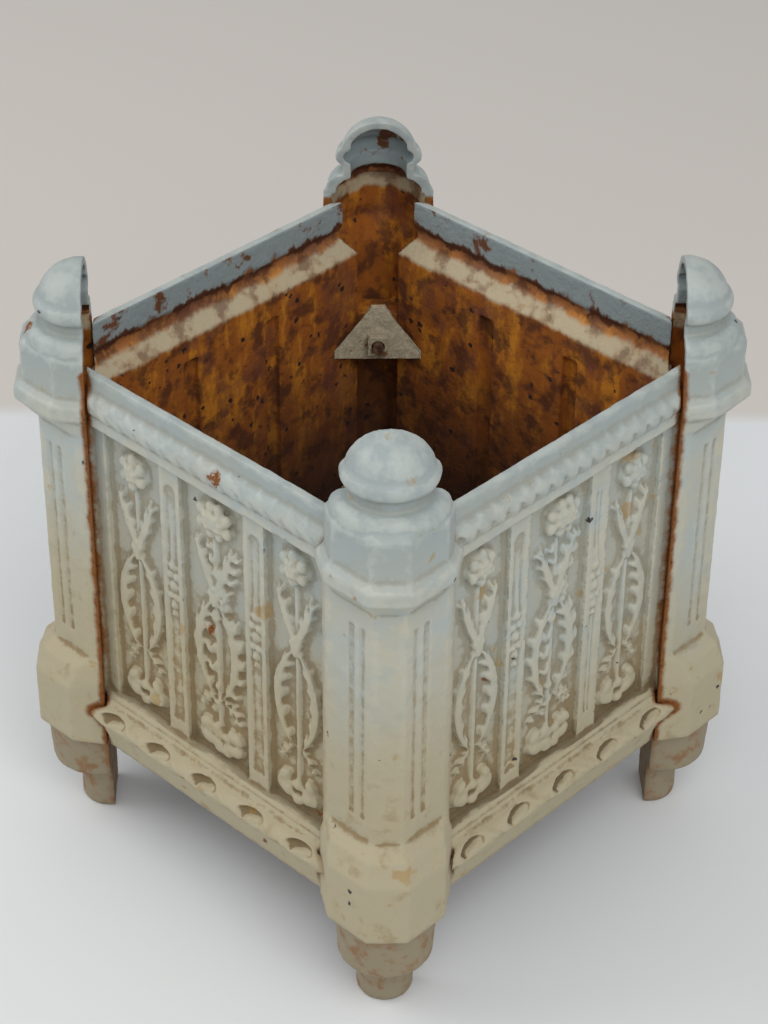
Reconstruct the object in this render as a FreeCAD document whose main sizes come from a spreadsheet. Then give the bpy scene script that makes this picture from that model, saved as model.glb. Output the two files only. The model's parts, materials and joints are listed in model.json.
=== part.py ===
"""A square cast iron planter: four open-backed corner posts drawn by studs on to four relief panels."""
import FreeCAD, Part
import os
from collections import namedtuple

import Sketcher
from FreeCAD import Placement, Rotation, Vector

doc = FreeCAD.newDocument("planter")

# Driving dimensions in millimetres: value, then what it measures
SIZES = {
    "rim_width": (230.0, "width over the outer faces of the rim"),
    "rim_lip": (4.9, "thickness of the rim"),
    "post_set": (24.0, "corner of the rim's outer faces to the back plane of a post, along the diagonal"),
    "joint_gap": (0.3, "gap between a panel's mitred end and the back plane of a post"),
    "nose_gap": (0.8, "gap between the base moulding and the side of a post's base"),
    # Heights of a post, from the ground up
    "foot_height": (28.5, "foot under its collar"),
    "collar_round": (3.0, "round on the lower edge of the collar"),
    "collar_height": (23.0, "side of the collar"),
    "base_height": (36.5, "faces of the base block"),
    "shoulder_rise": (6.0, "sloped shoulder on the base block"),
    "ring_rise": (5.5, "ring over that shoulder"),
    "ring_slope": (6.5, "slope from the ring to the shaft"),
    "shaft_height": (132.0, "shaft"),
    "torus_flare": (9.0, "slope from the shaft to the moulding under the cap"),
    "torus_height": (11.5, "moulding under the cap"),
    "cap_neck": (1.5, "that moulding to the cap block"),
    "cap_height": (22.0, "cap block"),
    "shoulder_height": (6.0, "round shoulder on the cap"),
    "neck_height": (5.5, "neck under the finial"),
    "bead_height": (9.3, "ring round the finial"),
    "dome_lift": (5.0, "centre of the dome to its foot"),
    # Post sections: reaches along the diagonal from the back plane, and depths of the sides from it
    "post_wall": (5.0, "wall of a post"),
    "chamfer_share": (0.275, "half width of the corner face as a share of its reach"),
    "return_drop": (3.5, "how much the sides draw in from the back plane"),
    "edge_round": (2.5, "break on the edges of the mouldings"),
    "base_reach": (36.3, "face of the base block"),
    "base_return": (18.4, "depth of the base block's sides"),
    "ring_reach": (32.0, "face of the ring"),
    "ring_return": (14.3, "depth of the ring's sides"),
    "shaft_reach": (25.5, "face of the shaft"),
    "shaft_return": (6.0, "depth of the shaft's sides"),
    "torus_reach": (35.8, "face of the moulding under the cap"),
    "torus_return": (16.6, "depth of that moulding's sides"),
    "cap_reach": (31.7, "face of the cap block"),
    "cap_return": (15.2, "depth of the cap block's sides"),
    "flute_radius": (1.6, "radius of the flutes in the shaft"),
    "flute_inner": (12.0, "diagonal to the first flute"),
    "flute_outer": (16.8, "diagonal to the second flute"),
    "flute_margin": (11.0, "height left at each end of a flute"),
    # Round parts of a post, turned about an axis in front of the back plane
    "finial_stilt": (2.5, "back plane to the axis of the finial"),
    "collar_stilt": (8.6, "back plane to the axis of the collar"),
    "foot_stilt": (4.0, "back plane to the axis of the foot"),
    "shoulder_radius": (26.5, "foot of the round shoulder"),
    "dome_radius": (20.2, "dome"),
    "neck_set": (1.9, "how much slimmer the neck is than the dome"),
    "bead_proud": (4.0, "how far the ring stands out from the neck"),
    "finial_wall": (4.5, "wall of the finial"),
    "foot_radius": (14.0, "foot"),
    "collar_radius": (24.6, "top of the collar over the foot"),
    "collar_draft": (1.4, "how much slimmer the collar is at its foot"),
    # Heights of a panel, from its underside up and from its fillet up
    "panel_lift": (0.5, "underside of the base blocks to the underside of a panel"),
    "nose_rise": (23.0, "underside of a panel to the crown of its base moulding"),
    "nose_round": (6.0, "size of the round on the base moulding"),
    "weathering_rise": (5.5, "sloped top of the base moulding"),
    "cornice_drop": (1.5, "lower edge of the posts' top moulding to the underside of the fillet"),
    "cornice_height": (5.5, "fillet under the rope moulding"),
    "rope_height": (13.0, "rope moulding"),
    "band_height": (9.4, "plain band under the rim"),
    "shelf_drop": (2.5, "underside of the fillet to the shelf inside"),
    "shelf_rise": (10.0, "slope of that shelf"),
    "band_start": (6.0, "top of that shelf to the plain band inside"),
    "ledge_rise": (11.0, "underside of a panel to the top of the ledge that carries the floor"),
    # Depths of a panel, out or in from the rim's outer face unless said otherwise
    "rope_proud": (4.2, "crown of the rope moulding"),
    "cornice_proud": (2.2, "fillet"),
    "stile_set": (1.6, "face of the bars and end stiles, inwards"),
    "bay_depth": (3.6, "depth of the bays, from that face"),
    "bay_wall": (5.3, "wall behind a bay"),
    "nose_proud": (11.0, "crown of the base moulding"),
    "toe_proud": (2.5, "bottom edge of the base moulding"),
    "panel_wall": (5.0, "wall of the base moulding, which is open below"),
    "shelf_set": (3.0, "back of the hollow behind the rope moulding, inwards"),
    "ledge_depth": (8.0, "how far the floor's ledge stands in from the wall"),
    "ledge_thickness": (5.0, "thickness of that ledge at its edge"),
    # Panel layout, along the panel
    "bar_spacing": (28.0, "middle of the panel to the middle of a bar"),
    "bar_width": (14.0, "width of a bar"),
    "stile_width": (10.2, "width of an end stile"),
    "recess_width": (9.0, "width of the hollow behind a bar"),
    "recess_depth": (4.0, "depth of that hollow"),
    "recess_margin": (16.0, "height left at each end of that hollow"),
    "corner_gap": (9.0, "half of the opening left between two panels at a corner"),
    # Cast flower of a bay: sizes across, then heights as shares of the bay's height
    "rose_drop": (16.5, "underside of the fillet to the middle of the rose"),
    "rose_radius": (10.2, "rose"),
    "rose_proud": (4.6, "how far the rose stands out from the bay"),
    "head_taper": (0.7, "face of the rose and of the round leaves as a share of their foot"),
    "stem_radius": (2.0, "half round stem"),
    "leaf_proud": (3.0, "how far the leaves stand out from the bay"),
    "leaf_width": (5.2, "leaves at their widest"),
    "bud_radius": (4.0, "small flower where the leaves cross the stem"),
    "bud_proud": (3.8, "how far that flower stands out from the bay"),
    "upper_spread": (12.0, "stem to the tips of the upper leaves"),
    "spray_spread": (15.0, "stem to the outer edge of the lower leaves"),
    "spray_gap": (2.5, "stem to the closed ends of the lower leaves"),
    "clump_spread": (8.5, "stem to the middle of the round leaves at its foot"),
    "clump_radius": (7.0, "those round leaves"),
    "clump_rise": (11.5, "foot of the bay to the middle of those leaves"),
    "ornament_root": (1.0, "how deep the ornament is let into the bay"),
    "crossing_share": (0.61, "where the leaves cross the stem"),
    "tip_share": (0.80, "tips of the upper leaves"),
    "spray_share": (0.23, "foot of the lower leaves"),
    # Corner fastenings
    "stud_drop": (41.0, "head of the shaft to the upper studs"),
    "stud_rise": (17.0, "top of the base block to the lower studs"),
    "stud_radius": (3.0, "stud"),
    "stud_clearance": (0.3, "gap round a stud in its holes"),
    "thread_depth": (14.0, "depth of a stud in its boss"),
    "stud_end": (2.5, "length of a stud past its nut"),
    "boss_width": (26.0, "width of the boss inside a post"),
    "boss_height": (18.0, "height of that boss"),
    "cleat_inset": (9.5, "back plane of a post to the outer face of a cleat"),
    "cleat_thickness": (5.0, "thickness of a cleat"),
    "cleat_height": (32.0, "height of a cleat"),
    "cleat_edge": (6.0, "height of the edges that bear on the panels"),
    "cleat_below": (11.0, "bottom of a cleat to its stud"),
    "cleat_peak": (4.0, "half width of a cleat's peak"),
    "nut_width": (11.0, "square nut across its flats"),
    "nut_thickness": (5.0, "thickness of a nut"),
    # Loose floor plate
    "floor_thickness": (6.0, "thickness of the floor plate"),
    "floor_gap": (1.5, "gap between the floor plate and the panels"),
    "floor_corner_gap": (3.0, "gap between a clipped corner and the end of a stud"),
    "drain_radius": (11.0, "hole in the middle of the floor plate"),
    "weep_radius": (7.0, "holes round it"),
    "weep_spacing": (50.0, "middle of the floor plate to those holes, along each side"),
}

# Places that follow from the driving dimensions: half widths of the posts, heights from the ground and
# reaches from the planter's centre
PLACES = {
    "base_side": "base_reach * (1 + chamfer_share) - base_return + return_drop",
    "ring_side": "ring_reach * (1 + chamfer_share) - ring_return + return_drop",
    "shaft_side": "shaft_reach * (1 + chamfer_share) - shaft_return + return_drop",
    "torus_side": "torus_reach * (1 + chamfer_share) - torus_return + return_drop",
    "cap_side": "cap_reach * (1 + chamfer_share) - cap_return + return_drop",
    "rim_face": "rim_width / 2",
    "post_line": "rim_face * sqrt(2) - post_set",
    "collar_low": "foot_height + collar_round",
    "base_bottom": "collar_low + collar_height",
    "base_top": "base_bottom + base_height",
    "ring_top": "base_top + shoulder_rise + ring_rise",
    "shaft_bottom": "ring_top + ring_slope",
    "shaft_top": "shaft_bottom + shaft_height",
    "torus_bottom": "shaft_top + torus_flare",
    "torus_top": "torus_bottom + torus_height",
    "cap_bottom": "torus_top + cap_neck",
    "cap_top": "cap_bottom + cap_height",
    "shoulder_top": "cap_top + shoulder_height",
    "neck_top": "shoulder_top + neck_height",
    "neck_radius": "dome_radius - neck_set",
    "bead_radius": "neck_radius + bead_proud",
    "dome_bottom": "neck_top + bead_height",
    "dome_centre": "dome_bottom - dome_lift",
    "planter_height": "dome_centre + dome_radius",
    "panel_bottom": "base_bottom + panel_lift",
    "nose_height": "panel_bottom + nose_rise",
    "field_bottom": "nose_height + nose_round + weathering_rise",
    "cornice_bottom": "torus_bottom - cornice_drop",
    "bay_height": "cornice_bottom - field_bottom",
    "rose_height": "cornice_bottom - rose_drop",
    "tip_height": "field_bottom + bay_height * tip_share",
    "crossing_height": "field_bottom + bay_height * crossing_share",
    "spray_height": "field_bottom + bay_height * spray_share",
    "clump_height": "field_bottom + clump_rise",
    "rope_bottom": "cornice_bottom + cornice_height",
    "band_bottom": "rope_bottom + rope_height",
    "rim_height": "band_bottom + band_height",
    "shelf_bottom": "cornice_bottom - shelf_drop",
    "shelf_top": "shelf_bottom + shelf_rise",
    "band_inside": "shelf_top + band_start",
    "ledge_top": "panel_bottom + ledge_rise",
    "rope_reach": "rim_face + rope_proud",
    "cornice_reach": "rim_face + cornice_proud",
    "stile_reach": "rim_face - stile_set",
    "field_reach": "stile_reach - bay_depth",
    "wall_inside": "field_reach - bay_wall",
    "nose_reach": "rim_face + nose_proud",
    "toe_reach": "rim_face + toe_proud",
    "shelf_reach": "rim_face - shelf_set",
    "mitre": "post_line - joint_gap",
    "stile_inner": "mitre * sqrt(2) - stile_reach - stile_width",
    "bay_spacing": "(bar_spacing + bar_width / 2 + stile_inner) / 2",
    "ornament_back": "field_reach - ornament_root",
    "stud_upper": "shaft_top - stud_drop",
    "stud_lower": "base_top + stud_rise",
    "nut_face": "cleat_inset + cleat_thickness + nut_thickness",
    "stud_back": "nut_face + stud_end",
}

sheet = doc.addObject("Spreadsheet::Sheet", "dim")
for row, (alias, (size, meaning)) in enumerate(SIZES.items(), start=1):
    sheet.set(f"A{row}", meaning)
    sheet.set(f"B{row}", str(size))
    sheet.setAlias(f"B{row}", alias)
for row, (alias, formula) in enumerate(PLACES.items(), start=len(SIZES) + 1):
    sheet.set(f"B{row}", f"={formula}")
    sheet.setAlias(f"B{row}", alias)
doc.recompute()

# A corner of an outline, as two expressions; via marks a point on the arc between its neighbours
Corner = namedtuple("Corner", "across along via", defaults=(False,))

UPRIGHT_ACROSS_X = Rotation(Vector(1, 0, 0), 90)
UPRIGHT_ACROSS_Y = Rotation(Vector(1, 1, 1), 120)
UPRIGHT_ACROSS_MINUS_Y = Rotation(Vector(0, -1, 0), Vector(0, 0, 1), Vector(-1, 0, 0), "XYZ")
ALONG_X = Rotation(Vector(0, 1, 0), 90)
LEVEL = Rotation()


def measure(expression):
    """The value of an expression, in millimetres."""
    return float(sheet.evalExpression(expression))


def mirrored(half):
    """The whole of an outline that is symmetric about its along axis."""
    other = [Corner(f"-({corner.across})", corner.along, corner.via) for corner in reversed(half)]
    return half + [corner for corner in other if corner.across != "-(0)"]


def mirrored_plan(half):
    """The whole of a plan outline that is symmetric about its across axis."""
    other = [Corner(corner.across, f"-({corner.along})", corner.via) for corner in reversed(half)]
    return half + other


def bind(thing, **expressions):
    """Ties properties of a document object to expressions; double underscores stand for dots."""
    for name, expression in expressions.items():
        thing.setExpression(name.replace("__", "."), expression)
    return thing


def place(thing, turn=LEVEL, x="0", y="0", z="0"):
    """Turns a document object and ties its place to expressions."""
    thing.Placement = Placement(Vector(), turn)
    return bind(thing, Placement__Base__x=x, Placement__Base__y=y, Placement__Base__z=z)


def pin(sketch, edge, end, corner):
    """Ties one point of a sketch to the two expressions of a corner."""
    for kind, expression in (("DistanceX", corner.across), ("DistanceY", corner.along)):
        rule = sketch.addConstraint(Sketcher.Constraint(kind, -1, 1, edge, end, measure(expression)))
        sketch.setExpression(f"Constraints[{rule}]", expression)


def draw(sketch, corners):
    """Fills a sketch with a closed outline of lines and of arcs through three points."""
    spots = [Vector(measure(corner.across), measure(corner.along), 0) for corner in corners]
    count = len(corners)
    joints = []
    for here, corner in enumerate(corners):
        if corner.via:
            continue
        after = (here + 1) % count
        if corners[after].via:
            last = (here + 2) % count
            edge = sketch.addGeometry(Part.Arc(spots[here], spots[after], spots[last]))
            forward = sketch.getPoint(edge, 1).distanceToPoint(spots[here]) < 1e-6
            middle = sketch.addGeometry(Part.Point(spots[after]), True)
            sketch.addConstraint(Sketcher.Constraint("PointOnObject", middle, 1, edge))
            pin(sketch, middle, 1, corners[after])
        else:
            edge = sketch.addGeometry(Part.LineSegment(spots[here], spots[after]))
            forward = True
        joints.append((edge, 1 if forward else 2, 2 if forward else 1, corner))
    for (edge, start, _, corner), (before, _, finish, _) in zip(joints, joints[-1:] + joints[:-1]):
        sketch.addConstraint(Sketcher.Constraint("Coincident", before, finish, edge, start))
        pin(sketch, edge, start, corner)
    return sketch


def outline(name, corners, turn=LEVEL, x="0", y="0", z="0"):
    """A closed sketch that stands where it is placed."""
    return place(draw(doc.addObject("Sketcher::SketchObject", name), corners), turn, x, y, z)


def extruded(name, sketch, direction, length):
    """A solid pushed out of a sketch."""
    solid = doc.addObject("Part::Extrusion", name)
    solid.Base = sketch
    solid.DirMode = "Custom"
    solid.Dir = direction
    solid.Solid = True
    return bind(solid, LengthFwd=length)


def lofted(name, sketches):
    """A solid with straight sides from sketch to sketch."""
    solid = doc.addObject("Part::Loft", name)
    solid.Sections = sketches
    solid.Solid = True
    solid.Ruled = True
    return solid


def block(name, length, width, height, **spot):
    """A box with its lowest corner at a place."""
    solid = bind(doc.addObject("Part::Box", name), Length=length, Width=width, Height=height)
    return place(solid, LEVEL, **spot)


def rod(name, radius, length, turn=LEVEL, **spot):
    """A cylinder that starts at a place."""
    solid = bind(doc.addObject("Part::Cylinder", name), Radius=radius, Height=length)
    return place(solid, turn, **spot)


def fused(name, solids):
    """Several solids made one."""
    whole = doc.addObject("Part::MultiFuse", name)
    whole.Shapes = solids
    whole.Refine = True
    return whole


def cut(name, base, tool):
    """A solid with another taken out of it."""
    rest = doc.addObject("Part::Cut", name)
    rest.Base = base
    rest.Tool = tool
    rest.Refine = True
    return rest


def half_octagon(name, height, reach, side):
    """One level of a post: corner face, two faces beside it and two sides that draw in."""
    chamfer = f"({reach}) * dim.chamfer_share"
    face_end = f"({side}) - dim.return_drop"
    half = [
        Corner(reach, chamfer),
        Corner(f"({reach}) + {chamfer} - ({face_end})", face_end),
        Corner("0", side),
    ]
    return outline(name, mirrored_plan(half), LEVEL, x="dim.post_line", z=height)


def turned(name, half, stilt):
    """A half round body: half a turn of an outline, carried straight back to the back plane."""
    axis = f"dim.post_line + {stilt}"
    shape = half if half[0].across == "0" else [Corner("0", half[0].along)] + half
    if half[-1].across != "0":
        shape = shape + [Corner("0", half[-1].along)]
    front = doc.addObject("Part::Revolution", f"{name}_front")
    front.Source = outline(f"{name}_profile", shape, UPRIGHT_ACROSS_MINUS_Y, x=axis)
    front.Axis = Vector(0, 0, 1)
    front.Angle = 180
    front.Solid = True
    bind(front, Base__x=axis)
    back = outline(f"{name}_back_profile", mirrored(half), UPRIGHT_ACROSS_Y, x="dim.post_line")
    return [front, extruded(f"{name}_back", back, Vector(1, 0, 0), stilt)]


def post_levels():
    """Outer levels of a post from its base block to its cap: height, reach and half width."""
    edge = "dim.edge_round"
    return [
        ("dim.base_bottom", f"dim.base_reach - {edge}", f"dim.base_side - {edge}"),
        (f"dim.base_bottom + {edge}", "dim.base_reach", "dim.base_side"),
        ("dim.base_top", "dim.base_reach", "dim.base_side"),
        ("dim.base_top + dim.shoulder_rise", f"dim.base_reach - {edge}", "dim.base_side"),
        ("dim.ring_top", "dim.ring_reach", "dim.ring_side"),
        ("dim.shaft_bottom", "dim.shaft_reach", "dim.shaft_side"),
        ("dim.shaft_top", "dim.shaft_reach", "dim.shaft_side"),
        ("dim.torus_bottom", f"dim.torus_reach - {edge}", f"dim.torus_side - {edge}"),
        (f"dim.torus_bottom + {edge}", "dim.torus_reach", "dim.torus_side"),
        (f"dim.torus_top - {edge}", "dim.torus_reach", "dim.torus_side"),
        ("dim.torus_top", f"dim.torus_reach - {edge}", f"dim.torus_side - {edge}"),
        ("dim.cap_bottom", "dim.cap_reach", "dim.cap_side"),
        (f"dim.cap_top - {edge}", "dim.cap_reach", "dim.cap_side"),
        ("dim.cap_top", f"dim.cap_reach - {edge}", f"dim.cap_side - {edge}"),
    ]


def hollow_levels():
    """Levels of the hollow inside a post, a wall's thickness inside the outer ones."""
    wall = "dim.post_wall"
    base = (f"dim.base_reach - {wall}", f"dim.base_side - {wall}")
    shaft = (f"dim.shaft_reach - {wall}", f"dim.shaft_side - {wall}")
    cap = (f"dim.cap_reach - {wall}", f"dim.cap_side - {wall}")
    return [
        (f"dim.base_bottom + {wall}", *base),
        (f"dim.base_top - {wall}", *base),
        ("dim.shaft_bottom", *shaft),
        ("dim.shaft_top", *shaft),
        (f"dim.torus_bottom + {wall}", *cap),
        (f"dim.cap_top - {wall}", *cap),
    ]


def dome(radius, foot):
    """Corners of a dome that ends on the axis: its foot, a point half way up and its top."""
    return [
        Corner(f"sqrt(({radius})^2 - ({foot} - dim.dome_centre)^2)", foot),
        Corner(f"({radius}) * sin(45 deg)", f"dim.dome_centre + ({radius}) * cos(45 deg)", True),
        Corner("0", f"dim.dome_centre + ({radius})"),
    ]


def finial_outline():
    """Round shoulder, neck, bead and dome, from the cap up."""
    return [
        Corner("dim.shoulder_radius", "dim.cap_top - dim.edge_round"),
        Corner("dim.shoulder_radius", "dim.cap_top"),
        Corner("dim.neck_radius + (dim.shoulder_radius - dim.neck_radius) * cos(45 deg)",
               "dim.cap_top + dim.shoulder_height * sin(45 deg)", True),
        Corner("dim.neck_radius", "dim.shoulder_top"),
        Corner("dim.neck_radius", "dim.neck_top"),
        Corner("dim.bead_radius", "(dim.neck_top + dim.dome_bottom) / 2", True),
    ] + dome("dim.dome_radius", "dim.dome_bottom")


def finial_hollow():
    """The hollow of the finial, open to the hollow of the cap."""
    radius = "(dim.dome_radius - dim.finial_wall)"
    bore = "(dim.neck_radius - dim.finial_wall)"
    foot = f"(dim.dome_centre + sqrt({radius}^2 - {bore}^2))"
    return [Corner(bore, "dim.cap_top - 2 * dim.post_wall")] + dome(radius, foot)


def foot_outline():
    """Foot, from the ground into its collar."""
    return [
        Corner("dim.foot_radius - dim.edge_round / 2", "0"),
        Corner("dim.foot_radius", "dim.edge_round"),
        Corner("dim.foot_radius", "dim.collar_low"),
    ]


def collar_outline():
    """Collar with a rounded lower edge, up to the base block."""
    side = "dim.collar_radius - dim.collar_draft"
    return [
        Corner(f"{side} - dim.collar_round", "dim.foot_height"),
        Corner(f"{side} - dim.collar_round * (1 - sin(45 deg))",
               "dim.foot_height + dim.collar_round * (1 - cos(45 deg))", True),
        Corner(side, "dim.collar_low"),
        Corner("dim.collar_radius", "dim.base_bottom"),
    ]


def post_flutes():
    """Four round-bottomed flutes, two in each face beside the corner face."""
    length = "dim.shaft_height - 2 * dim.flute_margin"
    flutes = []
    for hand, sign in (("right", ""), ("left", "-")):
        for flute in ("inner", "outer"):
            offset = f"dim.flute_{flute}"
            face = f"dim.post_line + dim.shaft_reach * (1 + dim.chamfer_share) - {offset}"
            flutes.append(rod(f"flute_{hand}_{flute}", "dim.flute_radius", length,
                              x=face, y=f"{sign}{offset}", z="dim.shaft_bottom + dim.flute_margin"))
    return flutes


def post_bosses():
    """Two blocks let into a post's faces that bear on the panels' ends, and the tapped holes in them."""
    length = "dim.shaft_reach * (1 + dim.chamfer_share) - (dim.boss_width + dim.post_wall) / 2"
    bosses = []
    holes = []
    for level in ("upper", "lower"):
        height = f"dim.stud_{level}"
        bosses.append(block(f"boss_{level}", length, "dim.boss_width", "dim.boss_height",
                            x="dim.post_line", y="-dim.boss_width / 2", z=f"{height} - dim.boss_height / 2"))
        holes.append(rod(f"tapping_{level}", "dim.stud_radius + dim.stud_clearance", "dim.thread_depth",
                         ALONG_X, x="dim.post_line", z=height))
    return bosses, holes


def corner_post():
    """One post, with its diagonal along X: an open-backed shell on a half round foot."""
    outer = [half_octagon(f"post_level_{n}", *level) for n, level in enumerate(post_levels(), start=1)]
    inner = [half_octagon(f"hollow_level_{n}", *level) for n, level in enumerate(hollow_levels(), start=1)]
    body = fused("post_body", [lofted("post_blocks", outer)]
                 + turned("finial", finial_outline(), "dim.finial_stilt")
                 + turned("collar", collar_outline(), "dim.collar_stilt")
                 + turned("foot", foot_outline(), "dim.foot_stilt"))
    hollow = fused("post_hollow", [lofted("hollow_blocks", inner)]
                   + turned("finial_hollow", finial_hollow(), "dim.finial_stilt"))
    bosses, holes = post_bosses()
    shell = fused("post_with_bosses", [cut("post_shell", body, hollow)] + bosses)
    return cut("post_casting", shell, fused("post_cuts", holes + post_flutes()))


def panel_section():
    """Section of a panel: rim, rope moulding, wall, base moulding open below, floor ledge and shelf."""
    lip = "dim.rim_face - dim.rim_lip"
    hollow = "dim.nose_reach - dim.nose_round - dim.panel_wall / 2"
    shin = "dim.wall_inside + dim.panel_wall"
    ledge = "dim.wall_inside - dim.ledge_depth"
    return [
        Corner(lip, "dim.rim_height"),
        Corner("dim.rim_face", "dim.rim_height"),
        Corner("dim.rim_face", "dim.band_bottom"),
        Corner("dim.rope_reach", "(dim.band_bottom + dim.rope_bottom) / 2", True),
        Corner("dim.rim_face", "dim.rope_bottom"),
        Corner("dim.cornice_reach", "dim.rope_bottom"),
        Corner("dim.cornice_reach", "dim.cornice_bottom"),
        Corner("dim.stile_reach", "dim.cornice_bottom"),
        Corner("dim.stile_reach", "dim.field_bottom"),
        Corner("dim.nose_reach - dim.nose_round", "dim.nose_height + dim.nose_round"),
        Corner("dim.nose_reach", "dim.nose_height", True),
        Corner("dim.nose_reach - dim.nose_round / 2", "dim.nose_height - dim.nose_round"),
        Corner("dim.toe_reach", "dim.panel_bottom"),
        Corner("dim.toe_reach - dim.panel_wall", "dim.panel_bottom"),
        Corner(hollow, "dim.nose_height - dim.nose_round"),
        Corner(hollow, "dim.nose_height"),
        Corner(shin, "dim.nose_height + dim.panel_wall"),
        Corner(shin, "dim.panel_bottom"),
        Corner("dim.wall_inside", "dim.panel_bottom"),
        Corner(ledge, "dim.ledge_top - dim.ledge_thickness"),
        Corner(ledge, "dim.ledge_top"),
        Corner("dim.wall_inside", "dim.ledge_top"),
        Corner("dim.wall_inside", "dim.shelf_bottom"),
        Corner("dim.shelf_reach", "dim.shelf_top"),
        Corner("dim.shelf_reach", "(dim.shelf_top + dim.band_inside) / 2"),
        Corner(lip, "dim.band_inside"),
    ]


def on_diagonal(outward, aside):
    """A plan corner given along a post's diagonal and square to it."""
    return Corner(f"(({outward}) + ({aside})) / sqrt(2)", f"(({outward}) - ({aside})) / sqrt(2)")


def panel_ends():
    """Plan that trims a panel: mitred on the back planes, then along the sides of the base blocks."""
    side = "dim.base_side + dim.nose_gap"
    face = "dim.base_reach * (1 + dim.chamfer_share) - dim.base_side + dim.return_drop"
    return mirrored_plan([
        on_diagonal(f"dim.mitre + {face}", f"{side} - dim.return_drop"),
        on_diagonal("dim.mitre", side),
        on_diagonal("dim.mitre", "dim.corner_gap"),
        on_diagonal("dim.post_line / 2", "dim.corner_gap"),
    ])


def panel_recesses():
    """What is taken out of a panel: three bays in front and a hollow behind each bar."""
    tall = "dim.cornice_bottom - dim.field_bottom"
    middle = "(dim.bar_spacing - dim.bar_width / 2)"
    outer = "(dim.bar_spacing + dim.bar_width / 2)"
    side_bay = f"dim.stile_inner - {outer}"
    bays = [
        ("middle", f"-{middle}", f"2 * {middle}"),
        ("right", outer, side_bay),
        ("left", "-dim.stile_inner", side_bay),
    ]
    recesses = []
    for name, start, width in bays:
        recesses.append(block(f"bay_{name}", "dim.bay_depth", width, tall,
                              x="dim.field_reach", y=start, z="dim.field_bottom"))
    for name, sign in (("right", ""), ("left", "-")):
        recesses.append(block(f"recess_{name}", "dim.recess_depth", "dim.recess_width",
                              f"{tall} - 2 * dim.recess_margin", x="dim.wall_inside",
                              y=f"{sign}dim.bar_spacing - dim.recess_width / 2",
                              z="dim.field_bottom + dim.recess_margin"))
    return recesses


def leaf(name, middle, hand, foot, tip, spread):
    """A curved leaf on a bay, drawn as a crescent between two arcs.

    The foot and the tip are corners across from the stem and along the height; spread is the distance
    from the stem to the outer arc half way up.
    """
    def across(distance):
        return f"{middle} {hand} ({distance})"

    halfway = f"(({foot.along}) + ({tip.along})) / 2"
    crescent = outline(name, [
        Corner(across(foot.across), foot.along),
        Corner(across(spread), halfway, True),
        Corner(across(tip.across), tip.along),
        Corner(across(f"({spread}) - dim.leaf_width"), halfway, True),
    ], UPRIGHT_ACROSS_Y, x="dim.ornament_back")
    return extruded(f"{name}_relief", crescent, Vector(1, 0, 0), "dim.ornament_root + dim.leaf_proud")


def flower_head(name, radius, proud, y, z):
    """A round flower or leaf that stands on a bay, narrower at its face."""
    head = bind(doc.addObject("Part::Cone", name), Radius1=radius, Radius2=f"({radius}) * dim.head_taper",
                Height=f"dim.ornament_root + ({proud})")
    return place(head, ALONG_X, x="dim.ornament_back", y=y, z=z)


def bay_flower(bay, middle):
    """The main forms of a bay's cast flower: rose, stem, bud, four leaves and two round leaves."""
    forms = [
        flower_head(f"rose_{bay}", "dim.rose_radius", "dim.rose_proud", middle, "dim.rose_height"),
        rod(f"stem_{bay}", "dim.stem_radius", "dim.rose_height - dim.clump_height",
            x="dim.field_reach", y=middle, z="dim.clump_height"),
        flower_head(f"bud_{bay}", "dim.bud_radius", "dim.bud_proud", middle, "dim.crossing_height"),
    ]
    crossing = Corner("0", "dim.crossing_height")
    upper_tip = Corner("dim.upper_spread", "dim.tip_height")
    spray_foot = Corner("dim.spray_gap", "dim.spray_height")
    for side, hand in (("right", "+"), ("left", "-")):
        forms += [
            leaf(f"upper_leaf_{side}_{bay}", middle, hand, crossing, upper_tip,
                 "(dim.upper_spread + dim.leaf_width) / 2"),
            leaf(f"spray_{side}_{bay}", middle, hand, spray_foot, crossing, "dim.spray_spread"),
            flower_head(f"clump_{side}_{bay}", "dim.clump_radius", "dim.leaf_proud",
                      f"{middle} {hand} dim.clump_spread", "dim.clump_height"),
        ]
    return forms


def relief_panel():
    """One panel, facing +X, with the main forms of its cast ornament."""
    length = "2 * dim.post_line"
    section = outline("panel_section", panel_section(), UPRIGHT_ACROSS_X, y="dim.post_line")
    wall = extruded("panel_wall", section, Vector(0, -1, 0), length)
    plan = extruded("panel_plan", outline("panel_ends", panel_ends()), Vector(0, 0, 1), "dim.planter_height")
    trimmed = doc.addObject("Part::Common", "panel_trimmed")
    trimmed.Base = wall
    trimmed.Tool = plan
    field = cut("panel_field", trimmed, fused("panel_recesses", panel_recesses()))
    flowers = []
    for bay, middle in (("middle", "0"), ("right", "dim.bay_spacing"), ("left", "-dim.bay_spacing")):
        flowers += bay_flower(bay, middle)
    return fused("panel_casting", [field] + flowers)


def corner_cleat():
    """A three-cornered iron plate whose bevelled edges bear on two panels, round a stud at z = 0."""
    levels = []
    for name, inset in (("outer", "dim.cleat_inset"), ("inner", "dim.cleat_inset + dim.cleat_thickness")):
        distance = f"dim.post_line - ({inset})"
        half_width = f"dim.wall_inside * sqrt(2) - ({distance})"
        half = [
            Corner(half_width, "-dim.cleat_below"),
            Corner(half_width, "dim.cleat_edge - dim.cleat_below"),
            Corner("dim.cleat_peak", "dim.cleat_height - dim.cleat_below"),
        ]
        levels.append(outline(f"cleat_{name}_face", mirrored(half), UPRIGHT_ACROSS_Y, x=distance))
    hole = rod("cleat_hole", "dim.stud_radius + dim.stud_clearance", "dim.post_line", ALONG_X)
    return cut("cleat_plate", lofted("cleat_blank", levels), hole)


def corner_stud():
    """A stud that stands in its boss and reaches past its nut, at z = 0."""
    length = "dim.thread_depth + dim.stud_back"
    return rod("stud_bar", "dim.stud_radius", length, ALONG_X, x="dim.post_line - dim.stud_back")


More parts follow.
